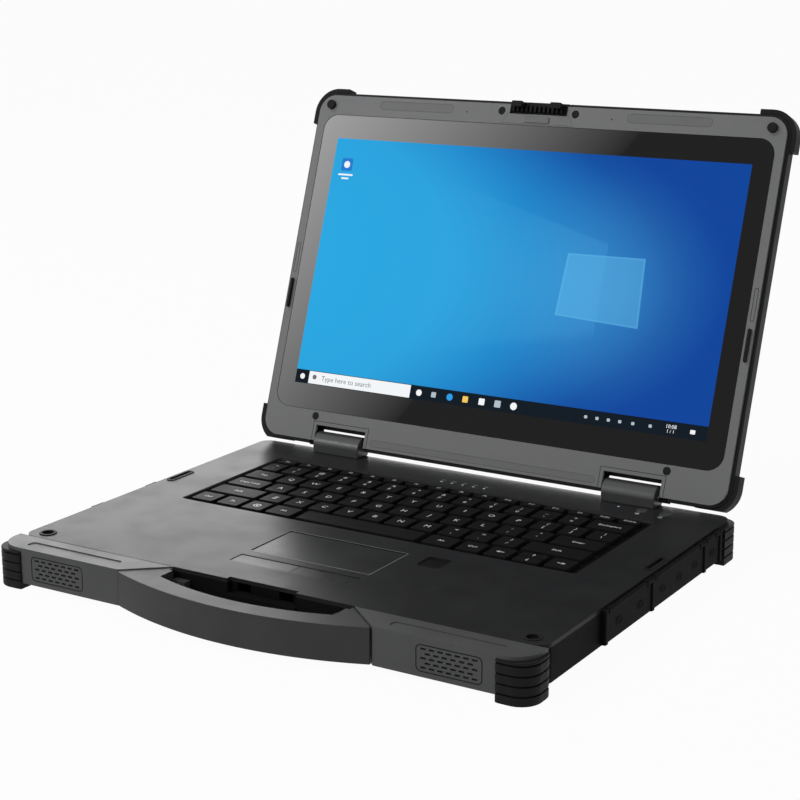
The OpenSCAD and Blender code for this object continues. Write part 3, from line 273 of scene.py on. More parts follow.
def pebbled(name, colour):
    """Door rubber with a pebbled pattern of small raised cells."""
    roughness = 0.6
    finish = Finish(name, roughness, 0.04)
    point = finish.place()
    cells = finish.node("ShaderNodeTexVoronoi", {"feature": "F1"}, {"Vector": point, "Scale": 1100.0})
    raised = 1.0 - cells.between(0.15, 0.55)
    haze = finish.noise(90.0, 3.0)
    # The colour is lighter on the raised cells and darker between them: painted shade in the hollows.
    finish.feed("Base Color", finish.mix(raised * 0.6 + haze * 0.4, shade(colour, 0.7), shade(colour, 1.4)))
    finish.feed("Roughness", roughness + 0.1 * haze)
    finish.bump(raised, 0.5, 0.06 * MM)
    return finish.material


def brushed(name, colour, roughness=0.32, along=(40.0, 2600.0, 2600.0), metallic=1.0):
    """Metal with fine drawn lines along one direction."""
    finish = Finish(name, roughness, metallic=metallic)
    lines = finish.noise(1.0, 4.0, 0.7, finish.place(along))
    stain = finish.noise(45.0, 3.0)
    finish.feed("Base Color", finish.mix(lines * 0.7 + stain * 0.3, shade(colour, 0.85), shade(colour, 1.12)))
    finish.feed("Roughness", roughness - 0.08 + lines * 0.16)
    finish.bump(lines, 0.12, 0.01 * MM)
    return finish.material


def cover_glass_finish(name):
    """Black-backed cover glass with a faint smear of finger grease."""
    finish = Finish(name, 0.05, 0.18)
    smear = finish.noise(26.0, 5.0, 0.6).between(0.4, 0.75)
    finish.feed("Base Color", finish.mix(smear, (0.0016, 0.0017, 0.0018), (0.0028, 0.003, 0.0032)))
    finish.feed("Roughness", 0.02 + smear * 0.03)
    return finish.material


def glow(name, colour, strength=1.0):
    """A plain lit colour, as an icon on the screen shows it, with faint unevenness."""
    finish = Finish(name, 0.8, 0.0)
    grid = finish.noise(9000.0, 0.0)
    finish.feed("Base Color", (0.0, 0.0, 0.0, 1.0))
    finish.feed("Emission Color", finish.mix(grid, shade(colour, 0.97), shade(colour, 1.03)))
    finish.feed("Emission Strength", strength)
    return finish.material


def printed(name, colour):
    """Ink of the legends and icons, slightly uneven."""
    finish = Finish(name, 0.45, 0.3)
    wear = finish.noise(1500.0, 3.0)
    finish.feed("Base Color", finish.mix(wear, shade(colour, 0.86), colour))
    return finish.material


def circuit_board(name):
    """Green board with paler traces and a solder grid."""
    finish = Finish(name, 0.42)
    point = finish.place()
    cells = finish.node(
        "ShaderNodeTexVoronoi", {"feature": "DISTANCE_TO_EDGE"}, {"Vector": point, "Scale": 260.0})
    traces = 1.0 - cells.between(0.02, 0.07)
    finish.feed("Base Color", finish.mix(traces, (0.008, 0.10, 0.035), (0.03, 0.24, 0.09)))
    finish.bump(traces, 0.3, 0.03 * MM)
    return finish.material


# Shapes -----------------------------------------------------------------------

def add_bevel(bm, edges, width, steps=3):
    """Rounds the edges, as the editor's Bevel does."""
    if not edges or width <= 0:
        return
    bmesh.ops.bevel(
        bm, geom=edges, offset=width, offset_type="OFFSET", segments=steps,
        profile=0.5, affect="EDGES", material=-1, clamp_overlap=True,
    )


def rounded_block(lo, hi, radius, edge=0.0, steps=5, taper=1.0):
    """A block with round upright corners, a soft top edge and a slightly smaller top."""
    lo, hi = Vector(lo), Vector(hi)
    bm = bmesh.new()
    size = hi - lo
    place = Matrix.Translation((lo + hi) / 2) @ Matrix.Diagonal((*size, 1.0))
    bmesh.ops.create_cube(bm, size=1.0, matrix=place)
    upright = [e for e in bm.edges if abs(e.verts[0].co.z - e.verts[1].co.z) > size.z / 2]
    add_bevel(bm, upright, radius, steps)
    top = max(bm.faces, key=lambda f: f.calc_center_median().z)
    if taper != 1.0:
        bmesh.ops.scale(
            bm, vec=(taper, taper, 1.0), verts=top.verts, space=Matrix.Translation(-top.calc_center_median()))
    add_bevel(bm, list(top.edges), edge, 3)
    return bm


def disc(centre, radius, height, steps=40):
    """A short round post standing on centre."""
    bm = bmesh.new()
    place = Matrix.Translation(Vector(centre) + Vector((0, 0, height / 2)))
    bmesh.ops.create_cone(
        bm, cap_ends=True, segments=steps, radius1=radius, radius2=radius, depth=height, matrix=place)
    return bm


def frame_ring(lo, hi, radius, line, steps=6):
    """A flat closed ring along a rounded rectangle, between the heights of lo and hi."""
    bm = rounded_block(lo, hi, radius, steps=steps)
    low = min(bm.faces, key=lambda f: f.calc_center_median().z)
    keep = max(bm.faces, key=lambda f: f.calc_center_median().z)
    sides = [f for f in bm.faces if f not in (low, keep)]
    bmesh.ops.delete(bm, geom=[low] + sides, context="FACES")
    face = bm.faces[:][0]
    bmesh.ops.inset_region(bm, faces=[face], thickness=line, use_even_offset=True, use_boundary=True)
    middle = max(bm.faces, key=lambda f: f.calc_area())
    inner = [f for f in bm.faces if f is not middle and f.calc_area() > middle.calc_area() / 2]
    bmesh.ops.delete(bm, geom=[middle] + inner, context="FACES")
    ring = bmesh.ops.extrude_face_region(bm, geom=bm.faces[:])
    down = [g for g in ring["geom"] if isinstance(g, bmesh.types.BMVert)]
    bmesh.ops.translate(bm, verts=down, vec=(0, 0, Vector(lo).z - Vector(hi).z))
    bmesh.ops.recalc_face_normals(bm, faces=bm.faces)
    return bm


def join(parts, places=None):
    """One bmesh of several, each moved by its matrix."""
    whole = bmesh.new()
    for i, part in enumerate(parts):
        mesh = bpy.data.meshes.new("part")
        if places:
            part.transform(places[i])
        part.to_mesh(mesh)
        part.free()
        whole.from_mesh(mesh)
        bpy.data.meshes.remove(mesh)
    return whole


def make_piece(name, bm, material, node, place=BASE, replaced=(), sharp=40.0):
    """A new piece from a bmesh, which rides with the node's body."""
    bm.transform(place)
    mesh = bpy.data.meshes.new(name)
    bm.to_mesh(mesh)
    bm.free()
    mesh.materials.append(material)
    for polygon in mesh.polygons:
        polygon.use_smooth = True
    mesh.set_sharp_from_angle(angle=math.radians(sharp))
    piece = bpy.data.objects.new(name, mesh)
    bpy.context.scene.collection.objects.link(piece)
    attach(piece, BODY_OF[node])
    if replaced:
        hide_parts(*replaced)
    even = piece.modifiers.new("even_shading", "WEIGHTED_NORMAL")
    even.keep_sharp = True
    return piece


def softened(node, width, material, steps=3, outer_only=False):
    """The node's own shape with its hard edges rounded by width, shown in its place."""
    bm = merged_copy(node)
    bmesh.ops.dissolve_limit(
        bm, angle_limit=math.radians(0.4), use_dissolve_boundaries=False, verts=bm.verts, edges=bm.edges)
    hard = [e for e in bm.edges if len(e.link_faces) == 2 and e.calc_face_angle(0.0) > HARD_ANGLE]
    if outer_only:
        hard = [e for e in hard if e.is_convex]
    add_bevel(bm, hard, width, steps)
    return make_piece(node + "_shell", bm, material, node, replaced=(node,))


def recolour(node, material):
    """Gives a node that is shown as it is its finish."""
    mesh = frame["nodes"][node].data
    if not mesh.materials:
        mesh.materials.append(material)
    for i in range(len(mesh.materials)):
        mesh.materials[i] = material


def lettering(text, size, centre, height=INK):
    """Raised letters lying flat, centred on a point, as a bmesh."""
    curve = bpy.data.curves.new("letters", "FONT")
    curve.body = text
    curve.size = size
    curve.extrude = height / 2
    curve.align_x = "CENTER"
    curve.align_y = "CENTER"
    curve.resolution_u = 2
    holder = bpy.data.objects.new("letters", curve)
    bpy.context.scene.collection.objects.link(holder)
    graph = bpy.context.evaluated_depsgraph_get()
    mesh = bpy.data.meshes.new_from_object(holder.evaluated_get(graph))
    bm = bmesh.new()
    bm.from_mesh(mesh)
    bpy.data.objects.remove(holder)
    bpy.data.curves.remove(curve)
    bpy.data.meshes.remove(mesh)
    bmesh.ops.remove_doubles(bm, verts=bm.verts, dist=0.001 * MM)
    bm.transform(Matrix.Translation(Vector(centre) + Vector((0, 0, height / 2))))
    return bm


def arrow(centre, size, turn):
    """A small arrow lying flat: a bar and a pointed head, turned about its centre."""
    head = bmesh.new()
    bmesh.ops.create_cone(
        head, cap_ends=True, segments=3, radius1=size * 0.32, radius2=size * 0.32, depth=INK,
        matrix=Matrix.Translation((size * 0.24, 0, INK / 2)) @ Matrix.Rotation(math.radians(-90), 4, "Z"))
    bar = rounded_block((-size * 0.5, -size * 0.06, 0), (size * 0.2, size * 0.06, INK), size * 0.05, steps=2)
    whole = join([head, bar])
    whole.transform(Matrix.Translation(Vector(centre)) @ Matrix.Rotation(math.radians(turn), 4, "Z"))
    return whole


# Settings ---------------------------------------------------------------------

def colour_setting(name, default, description):
    return FloatVectorProperty(
        name=name, description=description, subtype="COLOR", size=3, min=0.0, max=1.0, default=default)


def length_setting(name, default_mm, description):
    return FloatProperty(
        name=name, description=description, subtype="DISTANCE", unit="LENGTH", min=0.0,
        default=default_mm * MM)


class LaptopLooks(bpy.types.PropertyGroup):
    """Colours and edge sizes of the laptop's surfaces."""

    deck_colour: colour_setting("Deck", (0.022, 0.0225, 0.0235), "Satin black of the deck")
    case_colour: colour_setting("Case", (0.0065, 0.0065, 0.007), "Black of the case and the doors' columns")
    rail_colour: colour_setting("Rails", (0.082, 0.083, 0.085), "Dark grey paint of the front rails")
    handle_colour: colour_setting("Handle", (0.050, 0.0505, 0.052), "Dark grey of the carry handle")
    rubber_colour: colour_setting("Rubber", (0.0085, 0.0085, 0.009), "Black of the bumpers")
    bezel_colour: colour_setting("Bezel", (0.165, 0.167, 0.170), "Grey paint round the glass")
    hinge_colour: colour_setting("Hinges", (0.058, 0.059, 0.061), "Satin grey of the hinge blocks")
    key_colour: colour_setting("Keys", (0.0085, 0.0085, 0.009), "Black of the key caps")
    legend_colour: colour_setting("Legends", (0.90, 0.91, 0.92), "White of the key legends")
    edge: length_setting("Edge", 0.35, "Rounding of ordinary moulded edges")
    handle_edge: length_setting("Handle edge", 2.2, "Rounding of the carry handle's edges")
    rib_edge: length_setting("Rib edge", 1.1, "Rounding of the bumpers' ribs")
    grille_width: length_setting("Grille width", 39.4, "Width of the line round a grille")
    grille_height: length_setting("Grille height", 15.2, "Height of the line round a grille")
    key_edge: length_setting("Key edge", 0.4, "Rounding round the top of a key cap")
    letter_size: length_setting("Letter size", 5.7, "Size of the single letters on the keys")
    word_size: length_setting("Word size", 3.7, "Size of the words on the wide keys")


class StageSettings(bpy.types.PropertyGroup):
    """Camera, floor and lamps."""

    camera_place: FloatVectorProperty(
        name="Camera place", description="Where the camera stands", subtype="TRANSLATION", unit="LENGTH",
        size=3, default=(0.57148, -0.92822, 0.37426))
    camera_turn: FloatVectorProperty(
        name="Camera turn", description="How the camera is turned", subtype="EULER", unit="ROTATION",
        size=3, default=tuple(math.radians(a) for a in (75.82, 0.197, 31.652)))
    lens: FloatProperty(
        name="Lens", description="Focal length on a 36 mm sensor, in millimetres", min=10.0, max=300.0,
        default=82.97)
    floor_size: FloatProperty(
        name="Floor size", description="Side of the floor", subtype="DISTANCE", unit="LENGTH", default=30.0)
    fill: FloatProperty(name="Fill", description="Strength of the light from all round", min=0.0, default=0.3)
    key_power: FloatProperty(
        name="Key lamp", description="Power of the large lamp at the upper left", unit="POWER", min=0.0,
        default=24.0)
    deck_sheen: FloatProperty(
        name="Deck sheen", description="Brightness of the card that the deck mirrors", min=0.0, default=4.5)
    glass_sheen: FloatProperty(
        name="Glass sheen", description="Brightness of the card that the glass mirrors", min=0.0,
        default=20.0)
    card_distance: FloatProperty(
        name="Card distance", description="How far in front of the glass its card stands", subtype="DISTANCE",
        unit="LENGTH", default=1.4)


def looks():
    return bpy.context.scene.laptop_looks


# Finish makers by use, made once each
_made = {}


def finish_for(use):
    """The shared material for a use, made when it is first asked for."""
    if use not in _made:
        look = looks()
        makers = {
            "deck": lambda: grained("deck_black", look.deck_colour, 0.34, 0.06, 3000.0, 0.012),
            "case": lambda: grained("case_black", look.case_colour, 0.6, 0.03, 2200.0, 0.02),
            "rail": lambda: grained("rail_grey", look.rail_colour, 0.38, 0.1, 3200.0, 0.012),
            "handle": lambda: grained("handle_grey", look.handle_colour, 0.4, 0.09, 2600.0, 0.02),
            "rubber": lambda: rubber("bumper_rubber", look.rubber_colour),
            "door": lambda: pebbled("door_rubber", shade(look.case_colour, 1.2)),
            "bezel": lambda: grained("bezel_grey", look.bezel_colour, 0.46, 0.25, 3400.0, 0.01, wear=0.05),
            "hinge": lambda: brushed("hinge_satin", look.hinge_colour, 0.36, (60.0, 3000.0, 3000.0), 0.25),
            "key": lambda: grained("key_black", look.key_colour, 0.5, 0.035, 4200.0, 0.008),
            "tray": lambda: grained("tray_black", shade(look.key_colour, 0.4), 0.6, 0.04, 3000.0, 0.01),
            "pad": lambda: grained("pad_black", look.deck_colour, 0.3, 0.09, 5200.0, 0.004),
            "sensor": lambda: grained("sensor_black", shade(look.key_colour, 0.5), 0.35, 0.1, 5200.0, 0.004),
            "legend": lambda: printed("legend_white", look.legend_colour),
            # Grey print of the status icons; the same finish is the painted highlight line round the touchpad.
            "grey_ink_and_highlight": lambda: printed("grey_ink_and_highlight", (0.30, 0.31, 0.32)),
            # Plain black of the speakers and fan impeller; the same finish makes the dark lines and discs that are
            # painted shade in gaps, notches, recess rims and pinholes.
            "seam": lambda: grained("seam_black", (0.01, 0.01, 0.01), 0.6, 0.1),
            "trim": lambda: grained("trim_grey", shade(look.bezel_colour, 0.8), 0.5, 0.35, 3000.0, 0.008),
            "lid": lambda: grained("lid_black", (0.012, 0.012, 0.013), 0.45, 0.1, 2800.0, 0.014),
            "steel": lambda: brushed("steel", (0.50, 0.51, 0.53)),
            "copper": lambda: brushed("copper", (0.72, 0.36, 0.18), 0.3),
            "aluminium": lambda: brushed("aluminium", (0.42, 0.43, 0.45), 0.4),
            "board": lambda: circuit_board("board_green"),
            "glass": lambda: cover_glass_finish("cover_glass"),
            "lens": lambda: cover_glass_finish("camera_lens"),
            "light": lambda: glow("status_light", (0.55, 0.62, 0.68), 0.6),
        }
        _made[use] = makers[use]()
    return _made[use]


class LaptopOperator(bpy.types.Operator):
    """Base of the laptop's operators."""

    bl_options = {"REGISTER"}

    def execute(self, context):
        self.build(context.scene.laptop_looks)
        return {"FINISHED"}


# Base ---------------------------------------------------------------------------

class LAPTOP_OT_base_shell(LaptopOperator, bpy.types.Operator):
    """Deck, case, service cover and the rubber sockets, with softened edges"""

    bl_idname = "laptop.base_shell"
    bl_label = "Base shell"

    def build(self, look):
        softened("top_deck", look.edge, finish_for("deck"))
        softened("bottom_case", look.edge, finish_for("case"), 2)
        softened("service_cover", look.edge * 2, finish_for("case"))
        softened("deck_sockets", 0.3 * MM, finish_for("rubber"))
        softened("latch_keeper", 0.3 * MM, finish_for("case"))
        recolour("case_screws", finish_for("steel"))
        recolour("handle_screws", finish_for("steel"))


class LAPTOP_OT_front(LaptopOperator, bpy.types.Operator):
    """Front rails, carry handle and the speakers behind their grilles"""

    bl_idname = "laptop.front"
    bl_label = "Front"

    def build(self, look):
        softened("front_rail_left", look.edge, finish_for("rail"), outer_only=True)
        softened("front_rail_right", look.edge, finish_for("rail"), outer_only=True)
        softened("carry_handle", look.handle_edge, finish_for("handle"), 5)
        for side in ("left", "right"):
            recolour("speaker_" + side, finish_for("seam"))
            self.grille_line("speaker_" + side, side, look)
        self.deck_seam()

    def grille_line(self, speaker, side, look):
        """Fine line round the grille on the rail's front face."""
        lo, hi = extent(speaker)
        front = extent("front_rail_" + side)[0].y
        half = Vector((look.grille_width / 2, look.grille_height / 2, 0.06 * MM))
        middle = Vector(((lo.x + hi.x) / 2, (lo.z + hi.z) / 2, 0))
        ring = frame_ring(middle - half, middle + half, 3.0 * MM, 0.6 * MM)
        upright = Matrix.Translation((0, front, 0)) @ Matrix.Rotation(math.radians(90), 4, "X")
        make_piece("grille_line_" + side, ring, finish_for("seam"), speaker, upright)

    def deck_seam(self):
        """Dark line along the deck's front edge beside the rails and handle: painted shade of the gap between
        these parts.
        """
        front = extent("top_deck")[0].y
        top = extent("top_deck")[1].z
        half = extent("top_deck")[1].x - 5 * MM
        line, proud = 0.35 * MM, 0.03 * MM
        grip = 63 * MM
        seams = [
            rounded_block((x0, front - line, top - proud), (x1, front + line, top + proud), line / 2, steps=2)
            for x0, x1 in ((-half, -grip), (grip, half))]
        make_piece("deck_seam", join(seams), finish_for("seam"), "top_deck")


class LAPTOP_OT_bumpers(LaptopOperator, bpy.types.Operator):
    """Ribbed rubber bumpers on the corners of the base and lid"""

    bl_idname = "laptop.bumpers"
    bl_label = "Bumpers"

    def build(self, look):
        for place in ("front_left", "front_right", "rear_left", "rear_right"):
            softened("bumper_" + place, look.rib_edge, finish_for("rubber"), 4, outer_only=True)
        softened("lid_bumpers", 1.0 * MM, finish_for("rubber"), 4)


class LAPTOP_OT_doors(LaptopOperator, bpy.types.Operator):
    """Port doors with their pins and faint raised signs"""

    bl_idname = "laptop.doors"
    bl_label = "Port doors"

    def build(self, look):
        for place in ("front", "middle", "rear", "left"):
            node = "port_door_" + place
            softened(node, 0.5 * MM, finish_for("door"))
            self.signs(node, -1 if place == "left" else 1)
        recolour("door_pins", finish_for("steel"))

    def signs(self, node, side):
        """Small raised rings and bars that stand for the ports behind the door."""
        lo, hi = extent(node)
        outer = hi.x if side > 0 else lo.x
        width = hi.y - lo.y
        count = max(1, round(width / (24 * MM)))
        middle = lo.z + 8.5 * MM
        size, line, bar, proud = 3.4 * MM, 0.5 * MM, 0.3 * MM, 0.14 * MM
        parts = []
        for i in range(count):
            along = lo.y + width * (i + 0.5) / count
            parts.append(frame_ring(
                (along - size, middle - size * 0.62, 0), (along + size, middle + size * 0.62, proud),
                1.2 * MM, line))
            parts.append(rounded_block(
                (along - size * 0.4, middle - bar, 0), (along + size * 0.4, middle + bar, proud),
                0.25 * MM, steps=3))
        face = outer - side * 0.72 * MM
        turn = Matrix(((0, 0, side, face), (side, 0, 0, 0), (0, 1, 0, 0), (0, 0, 0, 1)))
        if side < 0:
            turn = turn @ Matrix.Scale(-1, 4, (1, 0, 0))
        signs = join(parts)
        signs.transform(turn)
        bmesh.ops.recalc_face_normals(signs, faces=signs.faces)
        make_piece(node + "_signs", signs, finish_for("case"), node)


# Keyboard ----------------------------------------------------------------------

WORDS_FUNCTION = ["Esc"] + [f"F{i}" for i in range(1, 13)] + ["Ins", "PrtSc", "Delete"]
DIGITS = [
    "~\n`", "!\n1", "@\n2", "#\n3", "$\n4", "%\n5", "^\n6", "&\n7", "*\n8", "(\n9", ")\n0", "_\n-", "+\n=",
]
LEGENDS = {
    "function_keys": WORDS_FUNCTION,
    "number_keys": DIGITS + ["Backspace"],
    "upper_letter_keys": ["Tab"] + list("QWERTYUIOP") + ["{\n[", "}\n]", "|\n\\"],
    "home_letter_keys": ["Caps Lock"] + list("ASDFGHJKL") + [":\n;", "\"\n'"],
    "lower_letter_keys": ["Shift"] + list("ZXCVBNM") + ["<\n,", ">\n.", "?\n/", "Shift"],
    "modifier_keys": ["Ctrl", "Fn", "", "Alt", "Alt", "Ctrl"],
    "arrow_keys": ["left", "down", "up", "right"],
    "space_bar": [""],
    "enter_key": ["Enter"],
}
ARROW_TURNS = {"right": 0.0, "up": 90.0, "left": 180.0, "down": -90.0}


class LAPTOP_OT_keyboard(LaptopOperator, bpy.types.Operator):
    """Key caps with their legends, the tray under them and the sloped edge of the well"""

    bl_idname = "laptop.keyboard"
    bl_label = "Keyboard"

    def build(self, look):
        recolour("keyboard_frame", finish_for("tray"))
        self.well_edge()
        for node, words in LEGENDS.items():
            boxes = sorted(separate_extents(node), key=lambda b: (round(b[0].x, 4), b[0].y))
            caps = [self.cap(lo, hi, look) for lo, hi in boxes]
            make_piece(node + "_caps", join(caps), finish_for("key"), node, replaced=(node,), sharp=60.0)
            marks = [m for (lo, hi), word in zip(boxes, words) for m in self.legend(lo, hi, word, look)]
            if marks:
                make_piece(node + "_legends", join(marks), finish_for("legend"), node)

    def cap(self, lo, hi, look):
        """One key cap: round corners, a soft edge and sides that lean in a little."""
        return rounded_block(lo, hi, 1.4 * MM, look.key_edge, 4, 0.965)

    def legend(self, lo, hi, word, look):
        """The marks on one key, as bmeshes."""
        centre = Vector(((lo.x + hi.x) / 2, (lo.y + hi.y) / 2, hi.z))
        low_key = hi.y - lo.y < 10 * MM
        if word in ARROW_TURNS:
            return [arrow(centre, (3.4 if low_key else 5.2) * MM, ARROW_TURNS[word])]
        if "\n" in word:
            high, low = word.split("\n")
            size = look.letter_size * 0.8
            return [lettering(high, size, centre + Vector((0, 3.1 * MM, 0))),
                    lettering(low, size, centre - Vector((0, 3.1 * MM, 0)))]
        if len(word) == 1:
            return [lettering(word, look.letter_size, centre)]
        if word:
            size = look.word_size * (0.8 if low_key else 1.0)
            return [lettering(word, size, centre)]
        if hi.x - lo.x < 20 * MM:
            return [self.menu_mark(centre)]
        return []

    def menu_mark(self, centre):
        """A plain round mark with a dot, for the key that opens the menu."""
        radius, line, height = 2.6 * MM, 0.6 * MM, 0.03 * MM
        corner = Vector((radius, radius, 0))
        rise = Vector((0, 0, height))
        ring = frame_ring(centre - corner, centre + corner + rise, radius * 0.99, line, 8)
        return join([ring, disc(centre, 0.9 * MM, height, steps=20)])

    def well_edge(self):
        """Sloped wall from the deck down to the tray, all round the well."""
        lo, hi = extent("keyboard_frame")
        flange, drop, slope = 4.0 * MM, 2.35 * MM, 1.5 * MM
        top = extent("top_deck")[1].z
        bm = bmesh.new()
        bmesh.ops.create_grid(
            bm, x_segments=1, y_segments=1, size=0.5,
            matrix=Matrix.Translation(((lo.x + hi.x) / 2, (lo.y + hi.y) / 2, top - 0.05 * MM))
            @ Matrix.Diagonal((hi.x - lo.x - 2 * flange, hi.y - lo.y - 2 * flange, 1.0, 1.0)))
        bmesh.ops.bevel(bm, geom=bm.verts[:], offset=2.0 * MM, offset_type="OFFSET", segments=6, profile=0.5,
                        affect="VERTICES", material=-1)
        bmesh.ops.inset_region(
            bm, faces=bm.faces[:], thickness=slope, depth=-drop, use_even_offset=True, use_boundary=True)
        middle = max(bm.faces, key=lambda f: f.calc_area())
        bmesh.ops.delete(bm, geom=[middle], context="FACES")
        bmesh.ops.recalc_face_normals(bm, faces=bm.faces)
        edge = make_piece("well_edge", bm, finish_for("deck"), "top_deck")
        thick = edge.modifiers.new("thickness", "SOLIDIFY")
        thick.thickness = 0.25 * MM
        thick.offset = 0.0


# Controls ------------------------------------------------------------------------

class LAPTOP_OT_controls(LaptopOperator, bpy.types.Operator):
    """Touchpad, its buttons, fingerprint sensor, round buttons and status icons"""

    bl_idname = "laptop.controls"
    bl_label = "Controls"

    def build(self, look):
        softened("touchpad", 0.3 * MM, finish_for("pad"))
        for side in ("left", "right"):
            softened("touchpad_button_" + side, 0.4 * MM, finish_for("pad"))
        softened("fingerprint_sensor", 0.3 * MM, finish_for("sensor"))
        for node in ("power_button", "mode_button"):
            softened(node, 0.5 * MM, finish_for("hinge"), 4)
        recolour("indicator_lights", finish_for("light"))
        self.outline("touchpad", 0.9 * MM)
        self.button_icons()
        self.status_icons()

    def outline(self, node, radius):
        """Fine light grey line where the deck meets the touchpad: a painted highlight along the edge of that step.
        """
        lo, hi = extent(node)
        flange, line = 1.6 * MM, 0.35 * MM
        top = extent("top_deck")[1].z
        ring = frame_ring(
            (lo.x + flange - line, lo.y + flange - line, top - 0.03 * MM),
            (hi.x - flange + line, hi.y - flange + line, top + 0.02 * MM), radius, line)
        make_piece(node + "_line", ring, finish_for("grey_ink_and_highlight"), node)

    def button_icons(self):
        """Printed marks in front of the two round buttons."""
        top = extent("top_deck")[1].z
        marks = []
        for node in ("power_button", "mode_button"):
            lo, hi = extent(node)
            spot = Vector(((lo.x + hi.x) / 2, lo.y - 2.0 * MM, top))
            half = Vector((1.3 * MM, 1.3 * MM, 0))
            rise = Vector((0, 0, 0.03 * MM))
            marks.append(frame_ring(spot - half, spot + half + rise, 1.28 * MM, 0.35 * MM, 6))
            bar = Vector((0.18 * MM, 0.0, 0))
            if node == "power_button":
                marks.append(rounded_block(
                    spot - bar, spot + bar + Vector((0, 1.9 * MM, 0.035 * MM)), 0.1 * MM, steps=2))
            else:
                marks.append(disc(spot, 0.45 * MM, 0.03 * MM, steps=16))
        make_piece("button_icons", join(marks), finish_for("legend"), "top_deck")

    def status_icons(self):
        """A small printed sign behind each status light."""
        top = extent("top_deck")[1].z
        rise = 0.03 * MM
        marks = []
        spots = sorted(separate_extents("indicator_lights"), key=lambda b: b[0].x)[:5]
        for i, (lo, hi) in enumerate(spots):
            x, y = (lo.x + hi.x) / 2, hi.y + 1.9 * MM
            wide, tall = (1.3 - 0.1 * (i % 3)) * MM, (0.8 + 0.15 * (i % 2)) * MM
            marks.append(frame_ring(
                (x - wide, y - tall, top), (x + wide, y + tall, top + rise), 0.4 * MM, 0.3 * MM, 4))
            marks.append(disc((x, y, top), 0.3 * MM, rise, steps=12))
        make_piece("status_icons", join(marks), finish_for("grey_ink_and_highlight"), "top_deck")


# Lid -----------------------------------------------------------------------------

class LAPTOP_OT_lid_shell(LaptopOperator, bpy.types.Operator):
    """Lid cover, bezel, pads, plugs and the inlays of the antennas"""

    bl_idname = "laptop.lid_shell"
    bl_label = "Lid shell"

    def build(self, look):
        softened("lid_cover", 0.8 * MM, finish_for("lid"))
        softened("lid_bezel", look.edge, finish_for("bezel"))
        softened("lid_pads", 0.5 * MM, finish_for("rubber"))
        softened("lid_screw_plugs", 0.25 * MM, finish_for("rubber"))
        softened("antenna_covers", 0.12 * MM, finish_for("trim"))
        self.back_panel()
        self.notch_shade_lines()
        self.recess_rim_shade()
        self.microphones()

    def back_panel(self):
        """Shallow raised panel on the back of the lid."""
        lo, hi = extent("lid_cover", LID)
        margin, proud = 24 * MM, 0.4 * MM
        panel = rounded_block(
            (lo.x + margin, lo.y + margin, -lo.z), (hi.x - margin, hi.y - margin, -lo.z + proud), 12 * MM,
            0.35 * MM, 8)
        flip = Matrix.Rotation(math.radians(180), 4, "Y")
        make_piece("lid_back_panel", panel, finish_for("lid"), "lid_cover", LID @ flip)

    def notch_shade_lines(self):
        """Fine dark lines on the bezel round each hinge notch: painted shade of the gap along the notch's edge."""
        low, high = extent("lid_bezel", LID)
        blocks = separate_extents("hinge_blocks", LID)
        line, margin, proud = 0.35 * MM, 4.2 * MM, 0.04 * MM
        notch_top = low.y + 13.6 * MM
        parts = []
        for lo, hi in blocks:
            x0, x1 = lo.x - margin, hi.x + margin
            for x in (x0, x1):
                parts.append(rounded_block(
                    (x - line / 2, low.y + 0.4 * MM, high.z - proud),
                    (x + line / 2, notch_top, high.z + proud), line * 0.3, steps=2))
            parts.append(rounded_block(
                (x0, notch_top - line / 2, high.z - proud), (x1, notch_top + line / 2, high.z + proud),
                line * 0.3, steps=2))
        make_piece("notch_shade_lines", join(parts), finish_for("seam"), "lid_bezel", LID)

    def recess_rim_shade(self):
        """Dark ring above each rubber bar at the sides of the bezel: painted shade round the rim of a shallow
        recess, which itself is not modelled.
        """
        high = extent("lid_bezel", LID)[1]
        bars = [b for b in separate_extents("lid_pads", LID) if b[1].y - b[0].y > 12 * MM]
        parts = []
        for lo, hi in bars:
            above = 4.6 * MM
            parts.append(frame_ring(
                (lo.x - 0.3 * MM, hi.y + above, high.z - 0.05 * MM),
                (hi.x + 0.3 * MM, hi.y + above + (hi.y - lo.y), high.z + 0.05 * MM), 1.0 * MM, 0.3 * MM))
        make_piece("recess_rim_shade", join(parts), finish_for("seam"), "lid_bezel", LID)

    def microphones(self):
        """Two dark discs near the top edge: painted shade where the microphones' pinholes are, which themselves
        are not cut.
        """
        high = extent("lid_bezel", LID)[1]
        parts = [disc((x * MM, high.y - 7.0 * MM, high.z - 0.03 * MM), 0.55 * MM, 0.05 * MM, steps=16)
                 for x in (-54.1, 54.1)]
        make_piece("microphone_hole_shade", join(parts), finish_for("seam"), "lid_bezel", LID)


class LAPTOP_OT_latch(LaptopOperator, bpy.types.Operator):
    """Latch slide, camera plate and the camera's shutter"""

    bl_idname = "laptop.latch"
    bl_label = "Latch and camera"

    def build(self, look):
        softened("latch_slide", 0.3 * MM, finish_for("rubber"), 2)
        softened("camera_module", 0.2 * MM, finish_for("bezel"))
        softened("camera_shutter", 0.25 * MM, finish_for("trim"))
        lo, hi = extent("camera_shutter", LID)
        spot = Vector((lo.x + 5 * MM, (lo.y + hi.y) / 2, extent("camera_module", LID)[1].z))
        lens = disc(spot - Vector((0, 0, 0.02 * MM)), 1.5 * MM, 0.03 * MM, steps=32)
        make_piece("camera_lens", lens, finish_for("lens"), "camera_module", LID)


class LAPTOP_OT_hinges(LaptopOperator, bpy.types.Operator):
    """Hinge blocks, pins and leaves"""

    bl_idname = "laptop.hinges"
    bl_label = "Hinges"

    def build(self, look):
        softened("hinge_blocks", 0.7 * MM, finish_for("hinge"))
        recolour("hinge_pins", finish_for("steel"))
        softened("hinge_leaves", 0.3 * MM, finish_for("case"))


